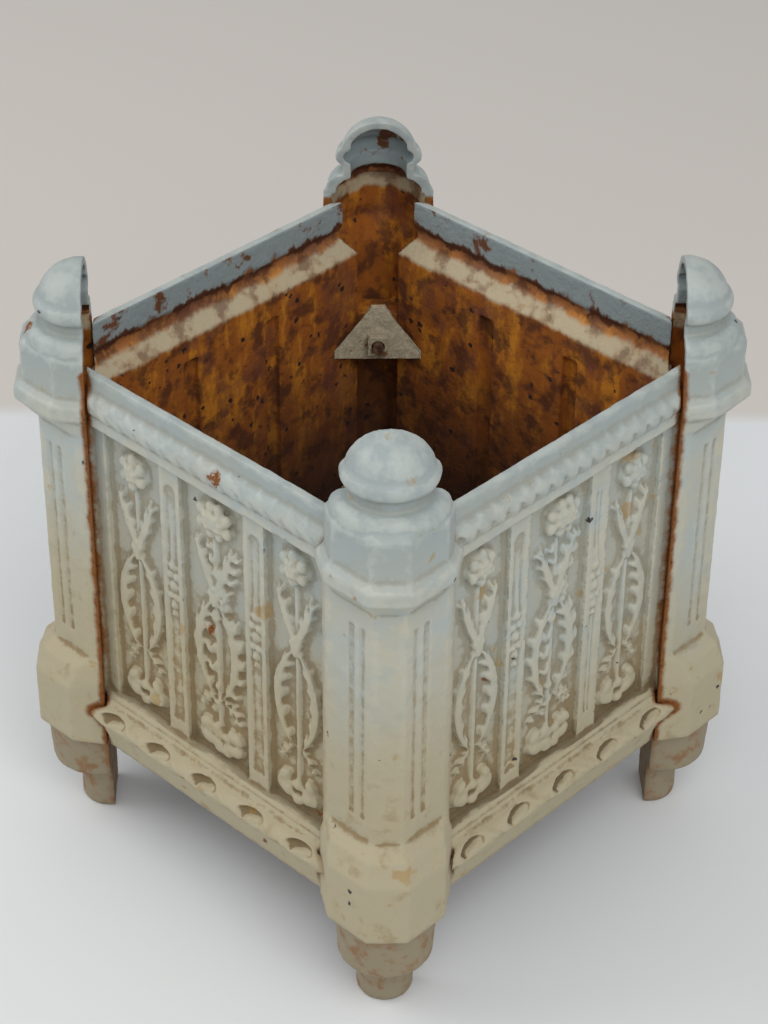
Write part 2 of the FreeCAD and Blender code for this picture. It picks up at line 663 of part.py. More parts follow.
def square_nut():
    """A square nut seated on the inner face of a cleat, at z = 0."""
    blank = block("nut_blank", "dim.nut_thickness", "dim.nut_width", "dim.nut_width",
                  x="dim.post_line - dim.nut_face", y="-dim.nut_width / 2", z="-dim.nut_width / 2")
    hole = rod("nut_hole", "dim.stud_radius + dim.stud_clearance", "dim.post_line", ALONG_X)
    return cut("nut_body", blank, hole)


def body_plane(body, role):
    """One of a body's own origin planes."""
    return next(feature for feature in body.Origin.OriginFeatures if feature.Role == role)


def body_sketch(body, name):
    """An empty sketch on the level plane of a body."""
    sketch = body.newObject("Sketcher::SketchObject", name)
    sketch.AttachmentSupport = (body_plane(body, "XY_Plane"), [""])
    sketch.MapMode = "FlatFace"
    return sketch


def drill(sketch, x, y, radius):
    """Adds a round hole to a sketch."""
    spot = Vector(measure(x), measure(y), 0)
    edge = sketch.addGeometry(Part.Circle(spot, Vector(0, 0, 1), measure(radius)))
    pin(sketch, edge, 3, Corner(x, y))
    rule = sketch.addConstraint(Sketcher.Constraint("Radius", edge, measure(radius)))
    sketch.setExpression(f"Constraints[{rule}]", radius)


def floor_plate():
    """Loose floor plate with clipped corners and drain holes, on the panels' ledges."""
    body = doc.addObject("PartDesign::Body", "floor_body")
    half = "dim.wall_inside - dim.floor_gap"
    clip = f"(dim.post_line - dim.stud_back - dim.floor_corner_gap) * sqrt(2) - ({half})"
    plan = body_sketch(body, "floor_plan")
    corners = [Corner(half, clip), Corner(clip, half), Corner(f"-({clip})", half), Corner(f"-({half})", clip)]
    draw(plan, mirrored_plan(corners))
    plate = body.newObject("PartDesign::Pad", "floor_pad")
    plate.Profile = plan
    bind(plate, Length="dim.floor_thickness")
    drains = body_sketch(body, "floor_drains")
    drill(drains, "0", "0", "dim.drain_radius")
    for across in ("dim.weep_spacing", "-dim.weep_spacing"):
        for along in ("dim.weep_spacing", "-dim.weep_spacing"):
            drill(drains, across, along, "dim.weep_radius")
    holes = body.newObject("PartDesign::Pocket", "floor_holes")
    holes.Profile = drains
    holes.Type = "ThroughAll"
    holes.Reversed = True
    return bind(body, Placement__Base__z="dim.ledge_top")


def repeated(label, pattern, steps, z="0"):
    """One of several like castings or fastenings, turned about the planter's axis by steps of a side."""
    copy = doc.addObject("App::Link", label)
    copy.LinkedObject = pattern
    copy.LinkTransform = True
    copy.Label = label
    return place(copy, Rotation(Vector(0, 0, 1), steps * 360 / len(SIDES)), z=z)


# Going round the planter from +X
SIDES = ("right", "back", "left", "front")
CORNERS = ("back_right", "back_left", "front_left", "front_right")

post = corner_post()
panel = relief_panel()
cleat = corner_cleat()
stud = corner_stud()
nut = square_nut()

floor = floor_plate()
floor.Label = "floor_plate"

nodes = [floor]
nodes += [repeated(f"panel_{side}", panel, steps) for steps, side in enumerate(SIDES)]
for side, corner in enumerate(CORNERS):
    steps = side + 0.5
    nodes.append(repeated(f"post_{corner}", post, steps))
    for level in ("upper", "lower"):
        height = f"dim.stud_{level}"
        nodes.append(repeated(f"cleat_{level}_{corner}", cleat, steps, height))
        nodes.append(repeated(f"stud_{level}_{corner}", stud, steps, height))
        nodes.append(repeated(f"nut_{level}_{corner}", nut, steps, height))
doc.recompute()

failed = [thing.Name for thing in doc.Objects if {"Invalid", "Error"} & set(thing.State)]
if failed:
    raise RuntimeError(f"failed objects: {failed}")
for node in nodes:
    if node.Shape.isNull() or not node.Shape.isValid() or len(node.Shape.Solids) != 1:
        raise RuntimeError(f"{node.Label} is not one valid solid")

drain_area = measure("pi * (dim.drain_radius^2 + 4 * dim.weep_radius^2)")
drained = doc.getObject("floor_pad").Shape.Volume - floor.Shape.Volume
if abs(drained - drain_area * measure("dim.floor_thickness")) > 1.0:
    raise RuntimeError("the drain holes did not cut the floor plate")

os.makedirs("parts", exist_ok=True)
for node in nodes:
    node.Shape.exportStep(f"parts/{node.Label}.step")
    print(node.Label, round(node.Shape.Volume), node.Shape.BoundBox)
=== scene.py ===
"""Looks of a small square cast iron planter, built over its CAD frame.

The castings are made as a foundry makes them: a plain CAD form, cutters that sink the channels and hollows,
added relief, and then one skin over everything that softens the edges as sand and many coats of paint do.
"""
from __future__ import annotations

import json
import logging
import math
from dataclasses import dataclass, field
from enum import Enum

import bpy
import numpy as np
from mathutils import Matrix, Vector
from mathutils.kdtree import KDTree

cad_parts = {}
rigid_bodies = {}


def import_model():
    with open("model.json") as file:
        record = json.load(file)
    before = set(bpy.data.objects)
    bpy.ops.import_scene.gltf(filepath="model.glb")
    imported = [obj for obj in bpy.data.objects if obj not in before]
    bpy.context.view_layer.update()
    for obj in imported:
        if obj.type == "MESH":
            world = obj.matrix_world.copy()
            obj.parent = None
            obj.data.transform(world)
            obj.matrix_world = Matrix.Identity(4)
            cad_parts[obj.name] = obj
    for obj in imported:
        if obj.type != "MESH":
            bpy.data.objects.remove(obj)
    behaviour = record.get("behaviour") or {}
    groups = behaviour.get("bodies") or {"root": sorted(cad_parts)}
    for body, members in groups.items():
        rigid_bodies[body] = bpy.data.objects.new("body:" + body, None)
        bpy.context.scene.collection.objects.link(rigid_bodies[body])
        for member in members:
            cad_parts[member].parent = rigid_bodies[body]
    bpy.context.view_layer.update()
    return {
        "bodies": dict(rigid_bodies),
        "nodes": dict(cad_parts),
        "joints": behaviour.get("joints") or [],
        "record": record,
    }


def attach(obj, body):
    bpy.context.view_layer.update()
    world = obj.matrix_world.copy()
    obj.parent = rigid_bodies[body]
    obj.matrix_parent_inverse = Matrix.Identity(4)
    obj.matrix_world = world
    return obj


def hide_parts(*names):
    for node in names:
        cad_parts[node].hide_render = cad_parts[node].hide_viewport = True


log = logging.getLogger("planter")

Socket = bpy.types.NodeSocket
# Two ends of a range
Span = tuple[float, float]

MM = 0.001
QUARTER_TURN = math.pi / 2
# Millimetres: centre to the back plane of a post along the diagonal, top of the panels, and the distance
# within which loose corners are one
POST_LINE = 138.6
RIM_TOP = 276.4
MERGE_DISTANCE = 0.002


class Side(Enum):
    """The planter's four sides, as quarter turns from +X."""

    RIGHT = 0
    BACK = 1
    LEFT = 2
    FRONT = 3


class Corner(Enum):
    """The planter's four corners, as quarter turns from the +X side."""

    BACK_RIGHT = 0.5
    BACK_LEFT = 1.5
    FRONT_LEFT = 2.5
    FRONT_RIGHT = 3.5


class Level(Enum):
    """The two heights at which every corner is bolted."""

    UPPER = "upper"
    LOWER = "lower"


# Colours and shader nodes


def linear(hex_colour: str) -> tuple[float, float, float, float]:
    """Turns an sRGB hex colour into linear light.

    Args:
        hex_colour: six hex digits after a hash sign.

    Returns:
        Red, green, blue and an alpha of one.
    """
    parts = [int(hex_colour[start:start + 2], 16) / 255 for start in (1, 3, 5)]
    low = [part / 12.92 if part <= 0.04045 else ((part + 0.055) / 1.055) ** 2.4 for part in parts]
    return low[0], low[1], low[2], 1.0


def per_metre(size_mm: float) -> float:
    """Pattern scale that gives features of a size in millimetres."""
    return 1000.0 / size_mm


@dataclass(frozen=True)
class NodeKind:
    """What one kind of shader node is given, in order, what it gives back, and what is set beforehand."""

    type_name: str
    inputs: tuple[str | int, ...] = ()
    output: str | int = 0
    settings: tuple[tuple[str, object], ...] = ()
    presets: tuple[tuple[str, float], ...] = ()


class Kind(Enum):
    """The kinds of shader node that the finishes are made of."""

    PLACE = NodeKind("ShaderNodeTexCoord", output="Object")
    SPLIT = NodeKind("ShaderNodeSeparateXYZ", (0,))
    TRAIT = NodeKind("ShaderNodeAttribute", output="Fac")
    STRETCH = NodeKind("ShaderNodeMapping", ("Vector", "Scale"))
    CLOUDS = NodeKind("ShaderNodeTexNoise", ("Vector", "Scale", "Detail"), presets=(("Roughness", 0.6),))
    WOBBLE = NodeKind("ShaderNodeTexNoise", ("Vector", "Scale"), "Color")
    CELLS = NodeKind("ShaderNodeTexVoronoi", ("Vector", "Scale"), "Distance")
    SHIFT = NodeKind("ShaderNodeVectorMath", (0, 1, 2), settings=(("operation", "MULTIPLY_ADD"),))
    ADD = NodeKind("ShaderNodeMath", (0, 1), settings=(("operation", "ADD"),))
    SUBTRACT = NodeKind("ShaderNodeMath", (0, 1), settings=(("operation", "SUBTRACT"),))
    TIMES = NodeKind("ShaderNodeMath", (0, 1), settings=(("operation", "MULTIPLY"),))
    TIMES_ADD = NodeKind("ShaderNodeMath", (0, 1, 2), settings=(("operation", "MULTIPLY_ADD"),))
    LARGER = NodeKind("ShaderNodeMath", (0, 1), settings=(("operation", "MAXIMUM"),))
    ABSOLUTE = NodeKind("ShaderNodeMath", (0,), settings=(("operation", "ABSOLUTE"),))
    STEP = NodeKind("ShaderNodeMapRange", ("Value", "From Min", "From Max", "To Min", "To Max"),
                    settings=(("interpolation_type", "SMOOTHSTEP"),))
    COAT = NodeKind("ShaderNodeMix", (6, 7, 0), 2, settings=(("data_type", "RGBA"),))
    BUMP = NodeKind("ShaderNodeBump", ("Height", "Distance"))
    SHADER = NodeKind("ShaderNodeBsdfPrincipled", ("Base Color", "Roughness", "Normal"),
                      presets=(("IOR", 1.5),))


class Painter:
    """Builds one node material from masks and coats of colour."""

    # Shares of the distance between spots: size and reach of their wobble, largest radius and soft edge
    WOBBLE_SIZE = 0.4
    WOBBLE_REACH = 0.6
    SPOT_RADIUS = 0.34
    SPOT_EDGE = 0.09

    def __init__(self, name: str) -> None:
        """Starts a material whose patterns lie in the planter's own space."""
        self.material = bpy.data.materials.new(name)
        self.material.use_nodes = True
        self.tree = self.material.node_tree
        self.surface = self.tree.get_output_node("ALL").inputs["Surface"]
        self.tree.nodes.remove(self.surface.links[0].from_node)
        self.place = self.add(Kind.PLACE)
        self.x, self.y, self.z = self.add(Kind.SPLIT, self.place).node.outputs

    def add(self, kind: Kind, *values: object, **settings: object) -> Socket:
        """Adds a node with its settings and links.

        Args:
            kind: the kind of node.
            *values: sockets, numbers, vectors or hex colours, in the order of the kind's inputs.
            **settings: properties of this one node.

        Returns:
            The socket of its output.
        """
        form = kind.value
        node = self.tree.nodes.new(form.type_name)
        for name, value in (*form.settings, *settings.items()):
            setattr(node, name, value)
        for name, value in (*form.presets, *zip(form.inputs, values)):
            socket = node.inputs[name]
            if isinstance(value, Socket):
                self.tree.links.new(value, socket)
            else:
                socket.default_value = linear(value) if isinstance(value, str) else value
        return node.outputs[form.output]

    def shaken(self, value: Socket, pattern: Socket, reach: float) -> Socket:
        """A value moved up or down by a pattern, by at most a reach."""
        return self.add(Kind.ADD, value, self.add(Kind.TIMES_ADD, pattern, 2 * reach, -reach))

    def spots(self, size_mm: float, share: float) -> Socket:
        """Mask of small separate spots.

        Args:
            size_mm: distance between the places where a spot may be.
            share: share of those places that have one.

        Returns:
            The mask's socket.
        """
        wobble = self.add(Kind.WOBBLE, self.place, per_metre(size_mm * self.WOBBLE_SIZE))
        bent = self.add(Kind.SHIFT, wobble, (size_mm * self.WOBBLE_REACH * MM,) * 3, self.place)
        away = self.add(Kind.CELLS, bent, per_metre(size_mm))
        chosen = self.add(Kind.SPLIT, away.node.outputs["Color"])
        radius = self.add(Kind.STEP, chosen, 1 - share, 1.0, 0.0, self.SPOT_RADIUS)
        return self.add(Kind.STEP, self.add(Kind.SUBTRACT, radius, away), 0.0, self.SPOT_EDGE)

    def finish(self, colour: Socket, roughness: Socket, grain: Socket,
               depth_mm: float) -> bpy.types.Material:
        """Sets up the shader.

        Args:
            colour: base colour.
            roughness: roughness.
            grain: height of the fine grain, between 0 and 1.
            depth_mm: depth of that grain.

        Returns:
            The finished material.
        """
        bump = self.add(Kind.BUMP, grain, depth_mm * MM)
        shader = self.add(Kind.SHADER, colour, roughness, bump)
        self.tree.links.new(shader, self.surface)
        return self.material


@dataclass(frozen=True)
class BrushedPaint:
    """Old oil paint, brushed in many coats on a sand casting.

    It gives the eye a chalky grey, bluer where rain washed the top, cream where the relief is rubbed, tan
    where dirt was splashed low down, brown grime in the creases and dark mud in the hollows, both partly
    painted shade, rust along the joints and chips down to dark iron.
    Sizes of patterns are in millimetres. Heights and distances are in metres, from no effect to full effect.
    """

    name: str = "brushed_oil_paint_on_cast_iron"
    clean: str = "#aab2ad"
    dull: str = "#b1b1a4"
    rained: str = "#959f9e"
    chalked: str = "#bfc3bb"
    cream: str = "#bdb499"
    dirt: str = "#ada182"
    # Grime, mud and brown darken the creases and hollows: dirt there, and partly painted shade.
    crease_grime_and_shade: str = "#857a5e"
    mud_and_hollow_shade: str = "#66563a"
    brown: str = "#836534"
    stain: str = "#a3803f"
    rust: str = "#7f4a14"
    dark_rust: str = "#40260f"
    bare: str = "#8c8068"
    chip: str = "#35302a"
    patch_mm: float = 42.0
    blotch_mm: float = 10.0
    grain_mm: float = 1.8
    grain_depth_mm: float = 0.12
    stain_mm: float = 19.0
    speck_mm: float = 8.0
    rust_spot_mm: float = 14.0
    chip_mm: float = 6.0
    rain_heights: Span = (0.235, 0.29)
    rubbed_heights: Span = (0.27, 0.24)
    crease_grime_and_shade_heights: Span = (0.28, 0.24)
    splash_heights: Span = (0.185, 0.075)
    splash_front: Span = (0.0, -0.11)
    splash_rise: float = 0.05
    mud_and_hollow_shade_heights: Span = (0.105, 0.085)
    mud_and_hollow_shade_top: Span = (0.27, 0.25)
    mud_and_hollow_shade_front: Span = (-0.122, -0.10)
    foot_heights: Span = (0.060, 0.052)
    joint_widths: Span = (0.0038, 0.0012)
    near_corner: Span = (0.19, 0.12)

    def build(self) -> bpy.types.Material:
        """Makes the material."""
        paint = Painter(self.name)
        blotches = paint.add(Kind.CLOUDS, paint.place, per_metre(self.blotch_mm), 5.0)
        grain = paint.add(Kind.CLOUDS, paint.place, per_metre(self.grain_mm), 5.0)
        crease = paint.add(Kind.TRAIT, attribute_name="crease")
        low = self.splash_mask(paint, blotches)
        rust = self.rust_mask(paint, blotches, grain)
        colour = self.coats(paint, blotches, crease)
        colour = paint.add(Kind.COAT, colour, self.dirt, paint.add(Kind.TIMES, low, 0.9))
        # Grime in the creases, stronger below the rim: partly dirt and partly painted shade in the creases.
        caked_and_shaded = paint.add(Kind.STEP, paint.shaken(crease, grain, 0.45), 0.35, 1.05)
        under_rim = paint.add(Kind.STEP, paint.z, *self.crease_grime_and_shade_heights, 0.24, 0.5)
        colour = paint.add(Kind.COAT, colour, self.crease_grime_and_shade, paint.add(Kind.TIMES, caked_and_shaded, under_rim))
        # Brown in blotches low down and in the creases: stains, and in the creases partly painted shade.
        leached_and_shaded = paint.add(Kind.LARGER, caked_and_shaded, paint.add(Kind.STEP, blotches, 0.54, 0.72, 0.0, 0.6))
        leached_and_shaded = paint.add(Kind.TIMES, leached_and_shaded, paint.add(Kind.TIMES, low, 0.6))
        colour = paint.add(Kind.COAT, colour, self.brown, leached_and_shaded)
        # Mud in the hollows, low down and thinly in the bays: partly dirt and partly painted shade in the
        # hollows.
        colour = paint.add(Kind.COAT, colour, self.mud_and_hollow_shade, self.mud_and_hollow_shade_mask(paint, blotches))
        stains = paint.add(Kind.TIMES, paint.spots(self.stain_mm, 0.12), 0.55)
        colour = paint.add(Kind.COAT, colour, self.stain, stains)
        faint = paint.add(Kind.STEP, grain, 0.4, 0.6, 0.0, 0.55)
        specks = paint.add(Kind.TIMES, paint.spots(self.speck_mm, 0.14), faint)
        colour = paint.add(Kind.COAT, colour, self.stain, specks)
        scale = paint.add(Kind.COAT, self.rust, self.dark_rust, paint.add(Kind.STEP, grain, 0.5, 0.7))
        colour = paint.add(Kind.COAT, colour, scale, rust)
        colour = paint.add(Kind.COAT, colour, self.chip, paint.spots(self.chip_mm, 0.02))
        colour = self.bare_feet(paint, colour, blotches)
        rough = paint.add(Kind.STEP, low, 0.0, 1.0, 0.5, 0.75)
        rough = paint.add(Kind.LARGER, rough, paint.add(Kind.TIMES, rust, 0.9))
        return paint.finish(colour, rough, paint.add(Kind.ADD, grain, blotches), self.grain_depth_mm)

    def coats(self, paint: Painter, blotches: Socket, crease: Socket) -> Socket:
        """Lays the paint itself: patchy grey, washed by rain above, chalked and rubbed on the relief.

        Args:
            paint: the material being made.
            blotches: middle-sized noise.
            crease: how sunk each point is.

        Returns:
            The colour's socket.
        """
        patches = paint.add(Kind.CLOUDS, paint.place, per_metre(self.patch_mm), 3.0)
        colour = paint.add(Kind.COAT, self.dull, self.clean, paint.add(Kind.STEP, patches, 0.40, 0.60))
        washed = paint.add(Kind.STEP, paint.z, *self.rain_heights, 0.0, 0.85)
        colour = paint.add(Kind.COAT, colour, self.rained, washed)
        proud = paint.add(Kind.STEP, crease, -0.12, -0.6)
        worn = paint.add(Kind.TIMES, proud, paint.add(Kind.STEP, blotches, 0.35, 0.6))
        colour = paint.add(Kind.COAT, colour, self.chalked, paint.add(Kind.TIMES, worn, 0.45))
        return paint.add(Kind.COAT, colour, self.cream, self.rubbed_mask(paint, blotches))

    def rubbed_mask(self, paint: Painter, blotches: Socket) -> Socket:
        """The parts of the relief that stand proud, below the rim."""
        hollow = paint.add(Kind.TRAIT, attribute_name="hollow")
        proud = paint.add(Kind.STEP, hollow, -0.08, -0.5)
        patchy = paint.add(Kind.TIMES, proud, paint.add(Kind.STEP, blotches, 0.36, 0.58))
        return paint.add(Kind.TIMES, patchy, paint.add(Kind.STEP, paint.z, *self.rubbed_heights, 0.0, 0.5))

    def splash_mask(self, paint: Painter, blotches: Socket) -> Socket:
        """Dirt splashed up from the ground, higher on the front."""
        higher = paint.add(Kind.STEP, paint.y, *self.splash_front, 0.0, self.splash_rise)
        height = paint.add(Kind.SUBTRACT, paint.z, higher)
        return paint.add(Kind.STEP, paint.shaken(height, blotches, 0.04), *self.splash_heights)

    def mud_and_hollow_shade_mask(self, paint: Painter, blotches: Socket) -> Socket:
        """Mud and painted shade in the hollows of the base moulding, least on the front, and thinly in the
        bays.
        """
        hollow = paint.add(Kind.TRAIT, attribute_name="hollow")
        sunk = paint.add(Kind.STEP, paint.shaken(hollow, blotches, 0.25), 0.10, 0.60)
        height = paint.add(Kind.STEP, paint.z, *self.mud_and_hollow_shade_heights, 0.1, 0.85)
        below_rim = paint.add(Kind.STEP, paint.z, *self.mud_and_hollow_shade_top)
        from_front = paint.add(Kind.STEP, paint.y, *self.mud_and_hollow_shade_front, 0.45, 1.0)
        place = paint.add(Kind.TIMES, height, from_front)
        return paint.add(Kind.TIMES, paint.add(Kind.TIMES, sunk, below_rim), place)

    def rust_mask(self, paint: Painter, blotches: Socket, grain: Socket) -> Socket:
        """Rust along the joints between posts and panels, least at the near corner, and in small spots.

        Args:
            paint: the material being made.
            blotches: middle-sized noise.
            grain: fine noise.

        Returns:
            The mask's socket.
        """
        away = paint.shaken(paint.add(Kind.TRAIT, attribute_name="joint"), blotches, 0.0025)
        joint = paint.add(Kind.STEP, away, *self.joint_widths)
        towards_corner = paint.add(Kind.SUBTRACT, paint.x, paint.y)
        joint = paint.add(Kind.TIMES, joint, paint.add(Kind.STEP, towards_corner, *self.near_corner, 0.25))
        broken = paint.add(Kind.STEP, grain, 0.3, 0.5)
        spots = paint.add(Kind.TIMES, paint.spots(self.rust_spot_mm, 0.03), broken)
        return paint.add(Kind.LARGER, joint, spots)

    def bare_feet(self, paint: Painter, colour: Socket, blotches: Socket) -> Socket:
        """Lays bare, rusting iron over the feet, where the paint has gone."""
        height = paint.shaken(paint.z, blotches, 0.006)
        foot = paint.add(Kind.STEP, height, *self.foot_heights)
        rusting = paint.add(Kind.STEP, blotches, 0.46, 0.64, 0.0, 0.75)
        bare = paint.add(Kind.COAT, self.bare, self.rust, rusting)
        return paint.add(Kind.COAT, colour, bare, paint.add(Kind.TIMES, foot, 0.85))


@dataclass(frozen=True)
class RustedCasting:
    """Bare cast iron that held wet soil for years.

    It gives the eye a matt, mottled orange brown with purple and dark patches, a pale line of lime along the
    edge of the shelf, and the remains of grey paint above it.
    Sizes of patterns are in millimetres, and heights in metres.
    """

    name: str = "soil_rusted_cast_iron"
    rust: str = "#9a5610"
    bright: str = "#c67e18"
    dark: str = "#52270a"
    purple: str = "#693927"
    darker_below: str = "#2b140c"
    pit: str = "#2c160c"
    lime: str = "#bdb092"
    band: str = "#8f9a9b"
    patch_mm: float = 24.0
    mottle_mm: float = 13.0
    streak_mm: float = 11.0
    streak_stretch: float = 3.0
    grain_mm: float = 2.5
    grain_depth_mm: float = 0.5
    pit_spacing_mm: float = 6.0
    darker_below_heights: Span = (0.22, 0.10)
    shelf_bottom: float = 0.245
    lime_height: float = 0.007
    band_bottom: float = 0.261
    band_edge: Span = (0.0035, 0.0012)

    def build(self) -> bpy.types.Material:
        """Makes the material."""
        iron = Painter(self.name)
        patches = iron.add(Kind.CLOUDS, iron.place, per_metre(self.patch_mm), 5.0)
        mottle = iron.add(Kind.CLOUDS, iron.place, per_metre(self.mottle_mm), 8.0)
        upright = iron.add(Kind.STRETCH, iron.place, (1.0, 1.0, 1 / self.streak_stretch))
        streaks = iron.add(Kind.CLOUDS, upright, per_metre(self.streak_mm), 4.0)
        grain = iron.add(Kind.CLOUDS, iron.place, per_metre(self.grain_mm), 5.0)
        colour = iron.add(Kind.COAT, self.rust, self.bright, iron.add(Kind.STEP, streaks, 0.46, 0.66))
        colour = iron.add(Kind.COAT, colour, self.dark, iron.add(Kind.STEP, mottle, 0.54, 0.38, 0.0, 0.85))
        colour = iron.add(Kind.COAT, colour, self.purple, iron.add(Kind.STEP, patches, 0.52, 0.64, 0.0, 0.6))
        # Darker towards the bottom.
        darker_below = iron.add(Kind.STEP, iron.shaken(iron.z, patches, 0.05), *self.darker_below_heights)
        colour = iron.add(Kind.COAT, colour, self.darker_below, iron.add(Kind.TIMES, darker_below, 0.9))
        colour = iron.add(Kind.COAT, colour, self.pit, iron.spots(self.pit_spacing_mm, 0.25))
        colour = iron.add(Kind.COAT, colour, self.lime, self.lime_mask(iron, streaks, mottle))
        wavy = iron.shaken(iron.z, streaks, 0.010)
        painted = iron.add(Kind.STEP, wavy, self.band_bottom, self.band_bottom + 0.0015)
        worn = iron.add(Kind.TIMES, painted, iron.add(Kind.STEP, mottle, 0.36, 0.44))
        colour = iron.add(Kind.COAT, colour, self.band, worn)
        # A dark line along the lower edge of the painted band: rust, and partly painted shade in the hollow
        # under the band.
        away = iron.add(Kind.ABSOLUTE, iron.add(Kind.SUBTRACT, wavy, self.band_bottom))
        edge = iron.add(Kind.STEP, away, *self.band_edge)
        broken = iron.add(Kind.TIMES, edge, iron.add(Kind.STEP, patches, 0.42, 0.5, 0.3))
        colour = iron.add(Kind.COAT, colour, self.dark, broken)
        rough = iron.add(Kind.STEP, worn, 0.0, 1.0, 0.88, 0.6)
        return iron.finish(colour, rough, iron.add(Kind.ADD, grain, mottle), self.grain_depth_mm)

    def lime_mask(self, iron: Painter, streaks: Socket, mottle: Socket) -> Socket:
        """The line of lime along the edge of the shelf.

        Args:
            iron: the material being made.
            streaks: noise that bends the line.
            mottle: noise that breaks it up.

        Returns:
            The mask's socket.
        """
        height = iron.shaken(iron.z, streaks, 0.004)
        above = iron.add(Kind.STEP, height, self.shelf_bottom - 0.001, self.shelf_bottom + 0.002)
        top = self.shelf_bottom + self.lime_height
        strip = iron.add(Kind.TIMES, above, iron.add(Kind.STEP, height, top + 0.003, top, 0.1, 1.0))
        return iron.add(Kind.TIMES, strip, iron.add(Kind.STEP, mottle, 0.37, 0.53, 0.35, 0.95))


@dataclass(frozen=True)
class WeatheredIron:
    """Small forged or cast pieces left bare in damp soil.

    It gives the eye a matt, mottled skin between a main colour and the rust that breaks through it.
    """

    name: str
    main: str
    light: str
    rust: str
    rust_start: float = 0.5
    rust_fade: float = 0.12
    patch_mm: float = 8.0
    grain_mm: float = 1.6
    grain_depth_mm: float = 0.25

    def build(self) -> bpy.types.Material:
        """Makes the material."""
        iron = Painter(self.name)
        patches = iron.add(Kind.CLOUDS, iron.place, per_metre(self.patch_mm), 5.0)
        grain = iron.add(Kind.CLOUDS, iron.place, per_metre(self.grain_mm), 5.0)
        colour = iron.add(Kind.COAT, self.main, self.light, iron.add(Kind.STEP, grain, 0.4, 0.65))
        rusting = iron.add(Kind.STEP, patches, self.rust_start, self.rust_start + self.rust_fade)
        colour = iron.add(Kind.COAT, colour, self.rust, rusting)
        rough = iron.add(Kind.STEP, patches, 0.3, 0.7, 0.75, 0.92)
        return iron.finish(colour, rough, grain, self.grain_depth_mm)


@dataclass(frozen=True)
class PaleGround:
    """Plain pale ground: honed stone that turns to a beige ground behind, with hardly any gloss."""

    name: str = "honed_pale_stone"
    near: str = "#e3e5e5"
    far: str = "#d5cec6"
    edge: float = 0.36
    edge_half: float = 0.01
    cloud_mm: float = 180.0
    grain_depth_mm: float = 0.05

    def build(self, backwards: Vector) -> bpy.types.Material:
        """Makes the material.

        Args:
            backwards: level direction away from the camera.

        Returns:
            The finished material.
        """
        stone = Painter(self.name)
        clouds = stone.add(Kind.CLOUDS, stone.place, per_metre(self.cloud_mm), 4.0)
        away = stone.add(Kind.ADD, stone.add(Kind.TIMES, stone.x, backwards.x),
                         stone.add(Kind.TIMES, stone.y, backwards.y))
        behind = stone.add(Kind.STEP, away, self.edge - self.edge_half, self.edge + self.edge_half)
        colour = stone.add(Kind.COAT, self.near, self.far, behind)
        colour = stone.add(Kind.COAT, colour, self.far, stone.add(Kind.STEP, clouds, 0.5, 0.9, 0.0, 0.25))
        rough = stone.add(Kind.STEP, clouds, 0.3, 0.7, 0.55, 0.65)
        return stone.finish(colour, rough, clouds, self.grain_depth_mm)


# Modelling by hand


def pick_only(piece: bpy.types.Object) -> None:
    """Selects one object alone and makes it the active one."""
    bpy.ops.object.select_all(action="DESELECT")
    piece.select_set(True)
    bpy.context.view_layer.objects.active = piece


def apply(piece: bpy.types.Object, kind: str, **settings: object) -> None:
    """Adds one modifier to a piece and applies it.

    Args:
        piece: the piece.
        kind: the modifier's type name.
        **settings: properties of the modifier.
    """
    pick_only(piece)
    modifier = piece.modifiers.new(kind.lower(), kind)
    for name, value in settings.items():
        setattr(modifier, name, value)
    bpy.ops.object.modifier_apply(modifier=modifier.name)


def join(target: bpy.types.Object, others: list[bpy.types.Object]) -> None:
    """Joins other objects into one."""
    pick_only(target)
    for other in others:
        other.select_set(True)
    bpy.ops.object.join()


def merged_copy(node: bpy.types.Object, name: str) -> bpy.types.Object:
    """Copies a CAD node and merges its loose triangles.

    Args:
        node: the CAD node.
        name: name of the copy.

    Returns:
        The copy, a closed mesh with no material.
    """
    mesh = node.data.copy()
    mesh.materials.clear()
    piece = bpy.data.objects.new(name, mesh)
    bpy.context.scene.collection.objects.link(piece)
    pick_only(piece)
    bpy.ops.object.mode_set(mode="EDIT")
    bpy.ops.mesh.select_all(action="SELECT")
    bpy.ops.mesh.remove_doubles(threshold=MERGE_DISTANCE * MM)
    bpy.ops.object.mode_set(mode="OBJECT")
    return piece


def turned_copy(piece: bpy.types.Object, name: str, quarters: float) -> bpy.types.Object:
    """Copies a piece with a mesh of its own, turned about the planter's axis.

    Args:
        piece: the piece to copy.
        name: name of the copy.
        quarters: quarter turns.

    Returns:
        The copy, at the origin.
    """
    mesh = piece.data.copy()
    mesh.transform(Matrix.Rotation(quarters * QUARTER_TURN, 4, "Z"))
    copy = bpy.data.objects.new(name, mesh)
    bpy.context.scene.collection.objects.link(copy)
    return copy


